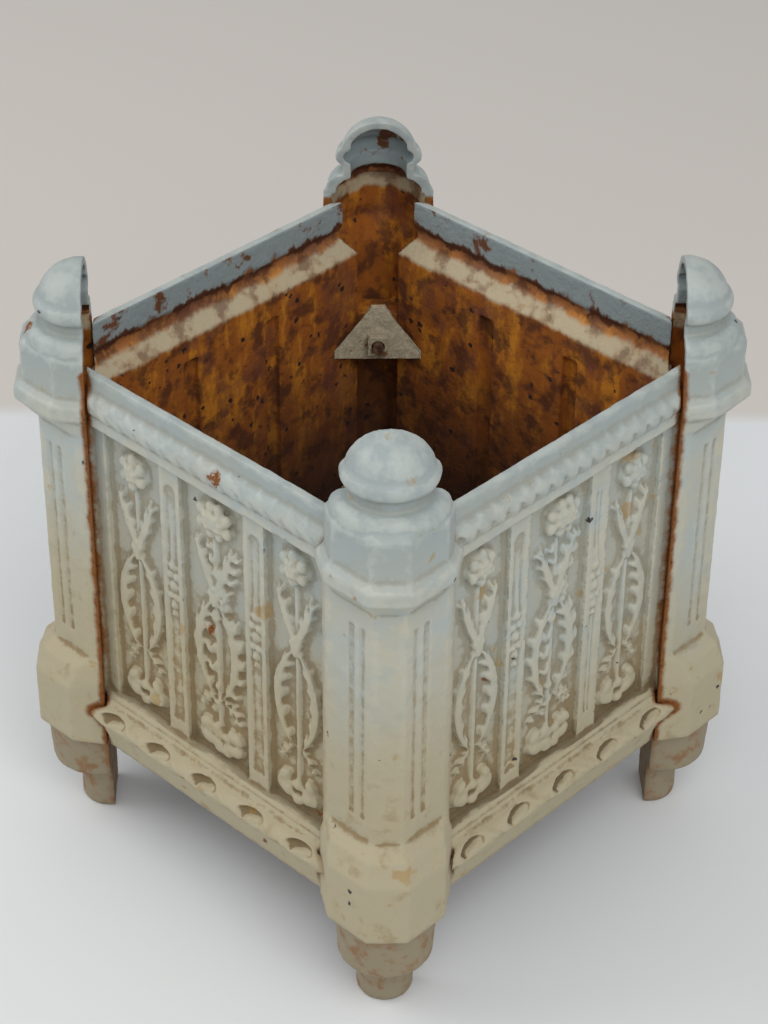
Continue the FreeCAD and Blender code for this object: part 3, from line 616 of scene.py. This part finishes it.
class Pattern:
    """A carver's pattern: forms in millimetres, added in edit mode to one mesh that faces +X."""

    def __init__(self, name: str) -> None:
        """Starts an empty mesh and goes into edit mode."""
        self.piece = bpy.data.objects.new(name, bpy.data.meshes.new(name))
        bpy.context.scene.collection.objects.link(self.piece)
        pick_only(self.piece)
        bpy.ops.object.mode_set(mode="EDIT")

    def ball(self, out: float, along: float, up: float, radii: tuple[float, float, float],
             turn: float = 0.0) -> None:
        """Adds a rounded form.

        Args:
            out: place along X.
            along: place along Y.
            up: place along Z.
            radii: half sizes along X, Y and Z before the turn.
            turn: degrees it is turned in the plane of the panel.
        """
        bpy.ops.mesh.primitive_uv_sphere_add(
            segments=18, ring_count=10, radius=1.0, location=(out * MM, along * MM, up * MM),
            rotation=(math.radians(turn), 0, 0), scale=tuple(radius * MM for radius in radii))

    def taper(self, start: Vector, end: Vector, thick: float, thin: float, flat: float = 1.0) -> None:
        """Adds a tapered rod between two points.

        Args:
            start: its thick end.
            end: its thin end.
            thick: radius at the start.
            thin: radius at the end.
            flat: thickness out of the panel as a share of the radius.
        """
        middle = (start + end) / 2 * MM
        way = end - start
        turn = math.atan2(-way.y, way.z)
        bpy.ops.mesh.primitive_cone_add(
            vertices=10, radius1=thick * MM, radius2=thin * MM, depth=way.length * MM, location=middle,
            rotation=(turn, 0, 0), scale=(flat, 1.0, 1.0))

    def done(self) -> bpy.types.Object:
        """Turns every face outwards, leaves edit mode and hands over the mesh."""
        bpy.ops.mesh.select_all(action="SELECT")
        bpy.ops.mesh.normals_make_consistent(inside=False)
        bpy.ops.object.mode_set(mode="OBJECT")
        return self.piece


# Name of each measure, rounds of smoothing added for it, and the depth in millimetres that counts as one
HOLLOW_MEASURES = (("crease", 14, 0.45), ("hollow", 90, 1.6))


def neighbours_mean(values: np.ndarray, edges: np.ndarray, count: np.ndarray) -> np.ndarray:
    """Mean of each vertex's neighbours.

    Args:
        values: one row for each vertex.
        edges: vertex pairs.
        count: number of neighbours of each vertex.

    Returns:
        One row for each vertex.
    """
    total = np.empty_like(values)
    for axis in range(values.shape[1]):
        column = values[:, axis]
        total[:, axis] = (np.bincount(edges[:, 0], column[edges[:, 1]], len(values))
                          + np.bincount(edges[:, 1], column[edges[:, 0]], len(values)))
    return total / count[:, None]


def measure_hollows(piece: bpy.types.Object) -> None:
    """Stores on a mesh how hollow each point is, finely as crease and broadly as hollow.

    A point is hollow where it lies below the mean of its surroundings.

    Args:
        piece: the piece to measure.
    """
    mesh = piece.data
    points = np.empty(len(mesh.vertices) * 3)
    mesh.vertices.foreach_get("co", points)
    points = points.reshape(-1, 3)
    normals = np.empty_like(points).ravel()
    mesh.vertices.foreach_get("normal", normals)
    normals = normals.reshape(-1, 3)
    edges = np.empty(len(mesh.edges) * 2, np.int64)
    mesh.edges.foreach_get("vertices", edges)
    edges = edges.reshape(-1, 2)
    count = np.maximum(np.bincount(edges.ravel(), minlength=len(points)), 1)
    smooth = points
    for name, rounds, depth_mm in HOLLOW_MEASURES:
        for _ in range(rounds):
            smooth = neighbours_mean(smooth, edges, count)
        depth = ((smooth - points) * normals).sum(1) / (depth_mm * MM)
        store = mesh.attributes.new(name, "FLOAT", "POINT")
        store.data.foreach_set("value", np.clip(depth, -1, 1).astype(np.float32))


def measure_joint(piece: bpy.types.Object, neighbour: bpy.types.Object, turns: tuple[float, ...],
                  back: float | None = None) -> None:
    """Stores on a mesh how far each point is from the castings that it is bolted to.

    Args:
        piece: the piece to measure.
        neighbour: the other casting.
        turns: quarter turns that bring the other casting to each of its places.
        back: distance of a back plane square to X that counts as joined up to the top of the panels.
    """
    tree = KDTree(len(neighbour.data.vertices) * len(turns))
    for turn in turns:
        spin = Matrix.Rotation(turn * QUARTER_TURN, 3, "Z")
        for vertex in neighbour.data.vertices:
            tree.insert(spin @ vertex.co, vertex.index)
    tree.balance()
    away = [tree.find(vertex.co)[2] for vertex in piece.data.vertices]
    if back is not None:
        planes = (abs(vertex.co.x - back * MM) + max(vertex.co.z - RIM_TOP * MM, 0.0)
                  for vertex in piece.data.vertices)
        away = [min(pair) for pair in zip(away, planes)]
    store = piece.data.attributes.new("joint", "FLOAT", "POINT")
    store.data.foreach_set("value", away)


@dataclass
class Skin:
    """The cast and painted skin that is drawn over a form: fineness, softness and unevenness."""

    voxel_mm: float = 0.7
    softening: int = 3
    lump_mm: float = 7.0
    lump_depth_mm: float = 0.45
    pit_mm: float = 1.8
    pit_depth_mm: float = 0.18
    triangles: int = 180_000

    def draw_over(self, piece: bpy.types.Object) -> None:
        """Remeshes a piece as one skin, softens it and makes it uneven."""
        apply(piece, "REMESH", mode="VOXEL", voxel_size=self.voxel_mm * MM)
        apply(piece, "SMOOTH", factor=0.5, iterations=self.softening)
        for size, depth in ((self.lump_mm, self.lump_depth_mm), (self.pit_mm, self.pit_depth_mm)):
            cloud = bpy.data.textures.new("casting_unevenness", "CLOUDS")
            cloud.noise_scale = size * MM
            cloud.noise_depth = 1
            apply(piece, "DISPLACE", texture=cloud, texture_coords="LOCAL", strength=depth * MM,
                  mid_level=1.0)
        piece.data.calc_loop_triangles()
        ratio = min(1.0, self.triangles / len(piece.data.loop_triangles))
        apply(piece, "DECIMATE", decimate_type="COLLAPSE", ratio=ratio)
        pick_only(piece)
        bpy.ops.object.shade_smooth()
        measure_hollows(piece)


# Sub-assemblies


@dataclass
class BayRelief:
    """Fine relief on the main forms of a bay's flower: petals, leaf lobes, buds and round leaves."""

    face: float = 109.8
    rose_height: float = 232.0
    rose_proud: float = 4.6
    petals: int = 6
    petal_twist: float = 4.0
    petal_rings: tuple[tuple[float, float, float], ...] = ((7.2, 2.6, 3.5), (3.4, 4.0, 2.3))
    crossing: float = 186.5
    tip_height: float = 216.7
    tip_spread: float = 12.0
    spray_foot: float = 126.1
    spray_gap: float = 2.5
    spray_middle: float = 12.4
    clump_height: float = 101.0

    def carve(self) -> bpy.types.Object:
        """Makes the relief of a bay whose middle is at Y = 0."""
        pattern = Pattern("bay_relief")
        self.rose(pattern)
        crossing = Vector((0, 0, self.crossing))
        self.buds(pattern, crossing)
        for hand, lobe in ((1, 6.8), (-1, 5.6)):
            tip = Vector((0, self.tip_spread * hand, self.tip_height))
            self.leaf(pattern, crossing, (crossing + tip) / 2, tip, lobe, 4)
            foot = Vector((0, self.spray_gap * hand, self.spray_foot))
            ends = (foot + crossing) / 2
            widest = Vector((0, self.spray_middle * hand, ends.z))
            self.leaf(pattern, foot, widest * 2 - ends, crossing, 7.4, 6)
            self.leaf(pattern, foot, Vector((0, 7.0 * hand, 126)), Vector((0, 12.5 * hand, 116)), 4.6, 3)
        self.clump(pattern)
        return pattern.done()

    def rose(self, pattern: Pattern) -> None:
        """Adds two rings of petals round a bud."""
        for ring, out, size in self.petal_rings:
            for petal in range(self.petals):
                angle = 360 / self.petals * petal + self.petal_twist * ring
                along = ring * math.cos(math.radians(angle))
                up = self.rose_height + ring * math.sin(math.radians(angle))
                pattern.ball(self.face + out, along, up, (2.7, size * 1.05, size * 0.95), angle)
        pattern.ball(self.face + 5.0, 0, self.rose_height, (1.6, 1.8, 1.8))

    def petal_gaps(self, pattern: Pattern, middle: float) -> None:
        """Adds the gaps between a rose's outer petals to a pattern of cutters.

        Args:
            pattern: where to add them.
            middle: middle of the bay.
        """
        ring = self.petal_rings[0][0]
        for petal in range(self.petals):
            angle = 360 / self.petals * (petal + 0.5) + self.petal_twist * ring
            along = middle + ring * math.cos(math.radians(angle))
            up = self.rose_height + ring * math.sin(math.radians(angle))
            pattern.ball(self.face + self.rose_proud, along, up, (3.0, 3.8, 1.0), angle)

    def buds(self, pattern: Pattern, crossing: Vector) -> None:
        """Adds a small flower where the leaves cross the stem."""
        for along, up in ((0, 0), (-2.8, 2.4), (2.8, 2.8), (0, -3.6), (0, 5.0)):
            pattern.ball(self.face + 1.8, along, crossing.z + up, (2.4, 2.1, 2.3))

    def leaf(self, pattern: Pattern, foot: Vector, bend: Vector, tip: Vector, lobe: float,
             pairs: int) -> None:
        """Adds pairs of rounded lobes along a curved rib.

        Args:
            pattern: where to add them.
            foot: foot of the rib, in the plane of the panel.
            bend: point that the rib curves towards.
            tip: tip of the rib.
            lobe: length of a lobe.
            pairs: number of pairs.
        """
        for pair in range(pairs):
            share = (pair + 0.5) / pairs
            spot = foot * (1 - share) ** 2 + bend * 2 * share * (1 - share) + tip * share ** 2
            way = ((bend - foot) * (1 - share) + (tip - bend) * share).normalized()
            side = Vector((0, -way.z, way.y))
            long = lobe * (0.55 + 0.45 * math.sin(math.pi * share))
            for hand in (-1, 1):
                lean = way * 0.85 + side * hand * 0.5
                middle = spot + lean * long * 0.5
                turn = math.degrees(math.atan2(-lean.y, lean.z))
                pattern.ball(self.face + 0.7, middle.y, middle.z, (2.3, long * 0.27, long * 0.6), turn)

    def clump(self, pattern: Pattern) -> None:
        """Adds the clump of round leaves at the foot of the bay."""
        for along, up, size, turn in ((-9.5, 5.5, 5.0, 40), (-8.0, -2.5, 5.8, -20), (7.5, -2.0, 5.8, 20),
                                      (9.5, 6.0, 4.6, -40), (0.0, 3.0, 4.4, 0), (0.0, -5.5, 4.6, 0)):
            pattern.ball(self.face + 1.4, along, self.clump_height + up, (2.7, size, size * 0.72), turn)


@dataclass
class ReliefPanel:
    """One cast panel: CAD form, sunk channels and hollows, and the cast flowers."""

    bay_spacing: float = 53.5
    side_bay_width: float = 0.9
    bar_spacing: float = 28.0
    bar_half: float = 7.0
    bar_face: float = 113.4
    bar_foot: float = 97.0
    bar_head: float = 248.5
    channel_half: float = 3.9
    channel_depth: float = 1.1
    arch_foot: float = 233.0
    arch_height: float = 5.0
    arch_steps: int = 5
    reed_spacing: float = 82.4
    reed_radius: float = 2.4
    reed_foot: float = 84.0
    rope_pitch: float = 9.7
    rope_strands: int = 15
    rope_height: float = 260.5
    rope_crown: float = 119.2
    rope_lean: float = 38.0
    nose_crown: float = 126.0
    nose_height: float = 78.0
    scroll_pitch: float = 33.0
    scroll_units: int = 5
    inner_limit: float = 108.8
    recess_limit: float = 110.8
    upper_inner_limit: float = 112.7
    shelf_height: float = 245.5
    level: float = 0.75
    facing: float = 0.5
    skin: Skin = field(default_factory=lambda: Skin(softening=5, lump_depth_mm=0.5))

    def cast(self, node: bpy.types.Object, rope_filling: float) -> bpy.types.Object:
        """Makes a panel that faces +X.

        Args:
            node: the CAD panel that faces +X.
            rope_filling: how much paint fills the grooves of the rope moulding, in millimetres.

        Returns:
            The finished mesh, with its hollows measured.
        """
        panel = merged_copy(node, "panel_casting")
        cutters = self.cutters(rope_filling)
        apply(panel, "BOOLEAN", object=cutters, operation="DIFFERENCE", solver="EXACT", use_self=True)
        bpy.data.objects.remove(cutters)
        join(panel, self.relief())
        self.skin.draw_over(panel)
        return panel

    def cutters(self, rope_filling: float) -> bpy.types.Object:
        """Forms that are sunk into the panel: bar channels, rope grooves and hollows of the running leaf."""
        pattern = Pattern("panel_cutters")
        for hand in (-1, 1):
            self.channel(self.bar_spacing * hand)
        for strand in range(self.rope_strands + 1):
            along = (strand - self.rope_strands / 2) * self.rope_pitch
            pattern.ball(self.rope_crown + 1.4 + rope_filling, along, self.rope_height - 2.5, (4.2, 1.9, 6.4),
                         self.rope_lean)
        for unit in range(self.scroll_units):
            along = (unit - self.scroll_units / 2 + 0.5) * self.scroll_pitch
            pattern.ball(self.nose_crown - 0.6, along, self.nose_height + 2.4, (5.2, 9.4, 3.8), 8)
            pattern.ball(self.nose_crown - 1.0, along - 15, self.nose_height - 4.0, (3.2, 6.0, 2.2), 16)
        flower = BayRelief()
        for bay in (-1, 0, 1):
            flower.petal_gaps(pattern, bay * self.bay_spacing)
        return pattern.done()

    def channel(self, along: float) -> None:
        """Adds a channel with an arched head to the pattern that is in edit mode.

        Args:
            along: middle of the channel.
        """
        tall = self.arch_foot - self.bar_foot
        bpy.ops.mesh.primitive_cube_add(
            size=1.0, location=(self.bar_face * MM, along * MM, (self.bar_foot + tall / 2) * MM),
            scale=(2 * self.channel_depth * MM, 2 * self.channel_half * MM, tall * MM))
        mesh = bpy.context.edit_object.data
        bpy.ops.object.mode_set(mode="OBJECT")
        for face in mesh.polygons:
            face.select = face.select and face.normal.z > self.level
        bpy.ops.object.mode_set(mode="EDIT")
        bpy.ops.mesh.select_mode(type="FACE")
        width = 1.0
        for step in range(1, self.arch_steps + 1):
            narrower = max(math.cos(math.asin(step / self.arch_steps)), 0.1)
            bpy.ops.mesh.extrude_region_move(
                TRANSFORM_OT_translate={"value": (0, 0, self.arch_height / self.arch_steps * MM)})
            bpy.ops.transform.resize(value=(1, narrower / width, 1), center_override=(0, along * MM, 0))
            width = narrower
        bpy.ops.mesh.select_mode(type="VERT")

    def relief(self) -> list[bpy.types.Object]:
        """Forms that stand on the panel: bay flowers, bar flowers, rope strands and the running leaf."""
        bays = BayRelief().carve()
        for hand in (-1, 1):
            copy = turned_copy(bays, "bay_relief_side", 0)
            copy.data.transform(Matrix.Translation((0, self.bay_spacing * hand * MM, 0))
                                @ Matrix.Diagonal((1, self.side_bay_width, 1, 1)))
            join(bays, [copy])
        return [bays, self.bar_flowers(), self.end_reeds(), self.rope(), self.running_leaf()]

    def bar_flowers(self) -> bpy.types.Object:
        """A stack of buds under a spike in each bar's channel."""
        pattern = Pattern("bar_flowers")
        floor = self.bar_face - self.channel_depth
        for hand in (-1, 1):
            middle = self.bar_spacing * hand
            pattern.taper(Vector((floor, middle, 192)), Vector((floor, middle, 222)), 1.5, 0.3, 1.2)
            for along, up, size in ((0, 191, 2.7), (-2.1, 185, 2.1), (2.1, 185, 2.1), (0, 179, 2.6),
                                    (-1.8, 173, 1.8), (1.8, 173, 1.8), (0, 168, 2.2), (0, 163, 1.5)):
                pattern.ball(floor + 0.3, middle + along, up, (2.0, size, size * 1.1))
        return pattern.done()

    def end_reeds(self) -> bpy.types.Object:
        """A round reed up each end of the panel, which paint and rust have closed against the post."""
        pattern = Pattern("end_reeds")
        for hand in (-1, 1):
            foot = Vector((self.bar_face - 0.4, self.reed_spacing * hand, self.reed_foot))
            head = Vector((foot.x, foot.y, self.bar_head + 2))
            pattern.taper(foot, head, self.reed_radius, self.reed_radius)
        return pattern.done()

    def rope(self) -> bpy.types.Object:
        """The strands of the rope moulding."""
        pattern = Pattern("rope_strands")
        for strand in range(self.rope_strands):
            along = (strand - self.rope_strands / 2 + 0.5) * self.rope_pitch
            pattern.ball(self.rope_crown - 3.6, along, self.rope_height, (4.0, 4.9, 7.4), self.rope_lean)
        return pattern.done()

    def running_leaf(self) -> bpy.types.Object:
        """The leaf scroll along the nose of the base moulding, and the reeds on its sloped top."""
        pattern = Pattern("running_leaf")
        for unit in range(self.scroll_units):
            along = (unit - self.scroll_units / 2 + 0.5) * self.scroll_pitch
            pattern.ball(self.nose_crown - 3.6, along + 1.0, self.nose_height + 0.2, (3.4, 7.4, 1.9), 20)
            pattern.ball(self.nose_crown - 2.6, along + 15, self.nose_height + 1.0, (3.6, 6.5, 3.0), -24)
            pattern.ball(self.nose_crown - 2.6, along - 10, self.nose_height - 0.5, (3.2, 4.4, 2.6), -10)
        length = 2 * 76.0
        for out, up in ((115.3, 88.2), (117.6, 86.3)):
            bpy.ops.mesh.primitive_cylinder_add(
                vertices=10, radius=0.75 * MM, depth=length * MM, location=(out * MM, 0, up * MM),
                rotation=(QUARTER_TURN, 0, 0))
        return pattern.done()

    def dress(self, panel: bpy.types.Object, outer: bpy.types.Material, inner: bpy.types.Material) -> None:
        """Gives the panel its paint outside and its rust inside.

        Args:
            panel: a panel that faces +X.
            outer: finish of the outer faces.
            inner: finish of the inner faces.
        """
        panel.data.materials.append(outer)
        panel.data.materials.append(inner)
        for face in panel.data.polygons:
            if face.center.z > self.shelf_height * MM:
                limit = self.upper_inner_limit if face.normal.z < self.level else 0.0
            else:
                limit = self.recess_limit if face.normal.x < -self.facing else self.inner_limit
            face.material_index = int(face.center.x < limit * MM)


@dataclass
class CornerPost:
    """One open-backed corner post under its cast skin."""

    rim_depth: float = 1.1
    finial_stilt: float = 2.5
    hollows: tuple[tuple[float, float, float], ...] = ((282.0, 22.0, 9.0), (301.0, 18.0, 6.5))
    flute_line: float = 171.15
    flutes: tuple[float, float] = (12.0, 16.8)
    flute_foot: float = 120.0
    flute_head: float = 230.0
    filling_depth: float = 1.4
    filling_radius: float = 1.15
    seed: tuple[float, float, float] = (20.0, 0.0, 150.0)
    skin: Skin = field(default_factory=lambda: Skin(voxel_mm=0.75, softening=7, triangles=120_000))

    def cast(self, node: bpy.types.Object, quarters: float) -> bpy.types.Object:
        """Makes a post whose diagonal lies along +X.

        Args:
            node: a CAD post.
            quarters: quarter turns of that post from +X.

        Returns:
            The finished mesh, with its hollows measured.
        """
        post = merged_copy(node, "post_casting")
        post.data.transform(Matrix.Rotation(-quarters * QUARTER_TURN, 4, "Z"))
        hollows = self.finial_hollows()
        apply(post, "BOOLEAN", object=hollows, operation="DIFFERENCE", solver="EXACT")
        bpy.data.objects.remove(hollows)
        join(post, [self.flute_filling()])
        self.skin.draw_over(post)
        return post

    def finial_hollows(self) -> bpy.types.Object:
        """The rounded hollows behind the shoulder and the ring of the finial."""
        pattern = Pattern("finial_hollows")
        for up, radius, half_height in self.hollows:
            pattern.ball(POST_LINE + self.finial_stilt, 0, up, (radius, radius, half_height))
        return pattern.done()

    def flute_filling(self) -> bpy.types.Object:
        """The coats of paint that have half filled the flutes, on a post whose diagonal lies along +X."""
        pattern = Pattern("flute_filling")
        for flute in self.flutes:
            for hand in (-1, 1):
                out = self.flute_line - flute - self.filling_depth
                along = (flute - self.filling_depth) * hand
                foot = Vector((out, along, self.flute_foot))
                head = Vector((out, along, self.flute_head))
                pattern.taper(foot, head, self.filling_radius, self.filling_radius)
        return pattern.done()

    def dress(self, post: bpy.types.Object, outer: bpy.types.Material, inner: bpy.types.Material) -> None:
        """Gives the post its paint outside and its rust inside.

        Args:
            post: a post whose diagonal lies along +X.
            outer: finish of the outer faces.
            inner: finish of the hollow.
        """
        mesh = post.data
        mesh.materials.append(outer)
        mesh.materials.append(inner)
        pick_only(post)
        back = (POST_LINE + self.rim_depth) * MM
        target = Vector((POST_LINE + self.seed[0], self.seed[1], self.seed[2])) * MM
        for vertex in mesh.vertices:
            vertex.select = False
        for edge in mesh.edges:
            edge.select = False
        rims = [face.index for face in mesh.polygons if face.center.x < back and face.normal.x < -0.4]
        edges = set(rims)
        start = min((face for face in mesh.polygons if face.normal.x < -0.5 and face.index not in edges),
                    key=lambda face: (face.center - target).length).index
        for face in mesh.polygons:
            face.select = face.index in edges
        bpy.ops.object.mode_set(mode="EDIT")
        bpy.ops.mesh.select_mode(type="FACE")
        bpy.ops.mesh.hide()
        bpy.ops.object.mode_set(mode="OBJECT")
        mesh.polygons[start].select = True
        bpy.ops.object.mode_set(mode="EDIT")
        bpy.ops.mesh.select_linked()
        bpy.ops.object.mode_set(mode="OBJECT")
        for face in mesh.polygons:
            face.material_index = int(face.select and face.index not in edges)
        bpy.ops.object.mode_set(mode="EDIT")
        bpy.ops.mesh.reveal(select=False)
        bpy.ops.object.mode_set(mode="OBJECT")


@dataclass(frozen=True)
class Lamp:
    """A square soft lamp that faces the planter: place and size in metres, power in watts."""

    name: str
    place: tuple[float, float, float]
    size: float
    power: float


@dataclass
class Studio:
    """Camera, lights and ground."""

    camera_mm: tuple[float, float, float] = (734.997, -771.143, 935.028)
    right: tuple[float, float, float] = (0.72044575, 0.69346216, 0.00825521)
    up: tuple[float, float, float] = (-0.40621223, 0.41231088, 0.81547003)
    back: tuple[float, float, float] = (0.5620939, -0.59085528, 0.57874043)
    lens_mm: float = 93.444
    sensor_mm: float = 36.0
    sky_colour: str = "#f3f5f8"
    sky_strength: float = 0.57
    lamps: tuple[Lamp, ...] = (Lamp("window", (1.1, -0.6, 1.5), 1.3, 15.0),
                               Lamp("fill", (-1.3, -1.0, 1.3), 1.4, 13.0))
    ground_size: float = 6.0

    def set_camera(self) -> None:
        """Adds the camera at the photograph's place."""
        bpy.ops.object.camera_add()
        camera = bpy.context.object
        turn = Matrix((self.right, self.up, self.back)).transposed().to_4x4()
        camera.matrix_world = Matrix.Translation(Vector(self.camera_mm) * MM) @ turn
        camera.data.lens = self.lens_mm
        camera.data.sensor_fit = "AUTO"
        camera.data.sensor_width = self.sensor_mm
        bpy.context.scene.camera = camera

    def set_lights(self) -> None:
        """Adds an even sky and two large soft lamps, high on the right and on the left."""
        world = bpy.data.worlds.new("soft_room")
        world.use_nodes = True
        sky = world.node_tree.nodes["Background"]
        sky.inputs["Color"].default_value = linear(self.sky_colour)
        sky.inputs["Strength"].default_value = self.sky_strength
        bpy.context.scene.world = world
        for lamp in self.lamps:
            bpy.ops.object.light_add(type="AREA", location=lamp.place)
            light = bpy.context.object
            light.name = lamp.name
            light.rotation_mode = "QUATERNION"
            light.rotation_quaternion = Vector(lamp.place).to_track_quat("Z", "Y")
            light.data.size = lamp.size
            light.data.energy = lamp.power

    def lay_ground(self) -> None:
        """Lays a pale ground under the feet."""
        bpy.ops.mesh.primitive_plane_add(size=self.ground_size)
        ground = bpy.context.object
        ground.name = "ground"
        backwards = -Vector((self.back[0], self.back[1], 0)).normalized()
        ground.data.materials.append(PaleGround().build(backwards))


@dataclass
class Fastenings:
    """The cleats, studs and nuts that draw each corner together."""

    cleat_skin: Skin = field(default_factory=lambda: Skin(0.5, 9, lump_depth_mm=1.2, triangles=14_000))
    nut_skin: Skin = field(default_factory=lambda: Skin(0.35, 2, lump_depth_mm=0.4, triangles=8_000))

    def cast(self, frame: dict, finishes: dict[str, bpy.types.Material]) -> None:
        """Replaces every cleat, stud and nut.

        Args:
            frame: the loaded CAD frame.
            finishes: material of each kind of piece.
        """
        first = Corner.BACK_LEFT
        for kind in ("cleat", "stud", "nut"):
            skin = self.cleat_skin if kind == "cleat" else self.nut_skin
            for level in Level:
                node = f"{kind}_{level.value}_{first.name.lower()}"
                master = merged_copy(frame["nodes"][node], f"{kind}_{level.value}_master")
                skin.draw_over(master)
                master.data.materials.append(finishes[kind])
                for corner in Corner:
                    name = f"{kind}_{level.value}_{corner.name.lower()}"
                    piece = turned_copy(master, f"weathered_{name}", corner.value - first.value)
                    settle(piece, name, "frame")
                bpy.data.objects.remove(master)


@dataclass
class FloorPlate:
    """The loose floor plate."""

    skin: Skin = field(default_factory=lambda: Skin(1.0, 2, lump_mm=14.0, triangles=90_000))

    def cast(self, frame: dict, finish: bpy.types.Material) -> None:
        """Replaces the floor plate."""
        plate = merged_copy(frame["nodes"]["floor_plate"], "rusted_floor_plate")
        self.skin.draw_over(plate)
        plate.data.materials.append(finish)
        settle(plate, "floor_plate", "floor")


def settle(piece: bpy.types.Object, node: str, body: str) -> None:
    """Puts a finished piece in the place of its CAD node.

    Args:
        piece: the finished piece.
        node: the CAD node that it replaces.
        body: the body that it moves with.
    """
    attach(piece, body)
    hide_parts(node)
    piece.data.calc_loop_triangles()
    log.info("%s stands for %s with %d triangles", piece.name, node, len(piece.data.loop_triangles))


def cast_frame(frame: dict, outer: bpy.types.Material) -> None:
    """Makes the four posts and the four panels; paint has filled the rope moulding of the front panel.

    Args:
        frame: the loaded CAD frame.
        outer: finish of the outer faces.
    """
    posts = CornerPost()
    post = posts.cast(frame["nodes"]["post_back_right"], Corner.BACK_RIGHT.value)
    post_inside = RustedCasting(name="rain_rusted_cast_iron", shelf_bottom=0.270, band_bottom=0.284).build()
    posts.dress(post, outer, post_inside)
    panels = ReliefPanel()
    panel_inside = RustedCasting().build()
    for filling, sides in ((0.0, (Side.RIGHT, Side.BACK, Side.LEFT)), (1.6, (Side.FRONT,))):
        panel = panels.cast(frame["nodes"]["panel_right"], filling)
        panels.dress(panel, outer, panel_inside)
        measure_joint(panel, post, (0.5, -0.5))
        for side in sides:
            name = f"panel_{side.name.lower()}"
            settle(turned_copy(panel, f"cast_{name}", side.value), name, "frame")
        if Side.RIGHT in sides:
            measure_joint(post, panel, (0.5, -0.5), POST_LINE)
        bpy.data.objects.remove(panel)
    for corner in Corner:
        name = f"post_{corner.name.lower()}"
        settle(turned_copy(post, f"cast_{name}", corner.value), name, "frame")
    bpy.data.objects.remove(post)


def main() -> None:
    """Builds the planter's looks over its CAD frame."""
    logging.basicConfig(level=logging.INFO, format="%(name)s: %(message)s")
    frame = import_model()
    bpy.context.scene.view_settings.view_transform = "Standard"
    studio = Studio()
    studio.set_camera()
    studio.set_lights()
    studio.lay_ground()
    cast_frame(frame, BrushedPaint().build())
    Fastenings().cast(frame, {
        "cleat": WeatheredIron("limed_cast_iron", "#a59b83", "#bcb298", "#7d5a33", 0.58).build(),
        "stud": WeatheredIron("rusted_wrought_stud", "#5b3f2c", "#7b5a40", "#3a2318").build(),
        "nut": WeatheredIron("rusted_square_nut", "#9a8f78", "#b1a68d", "#6f4a26").build(),
    })
    FloorPlate().cast(frame, WeatheredIron("soil_stained_cast_iron", "#4a2e1e", "#6b452b", "#2d1b13").build())
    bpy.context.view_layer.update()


if __name__ == "__main__":
    main()
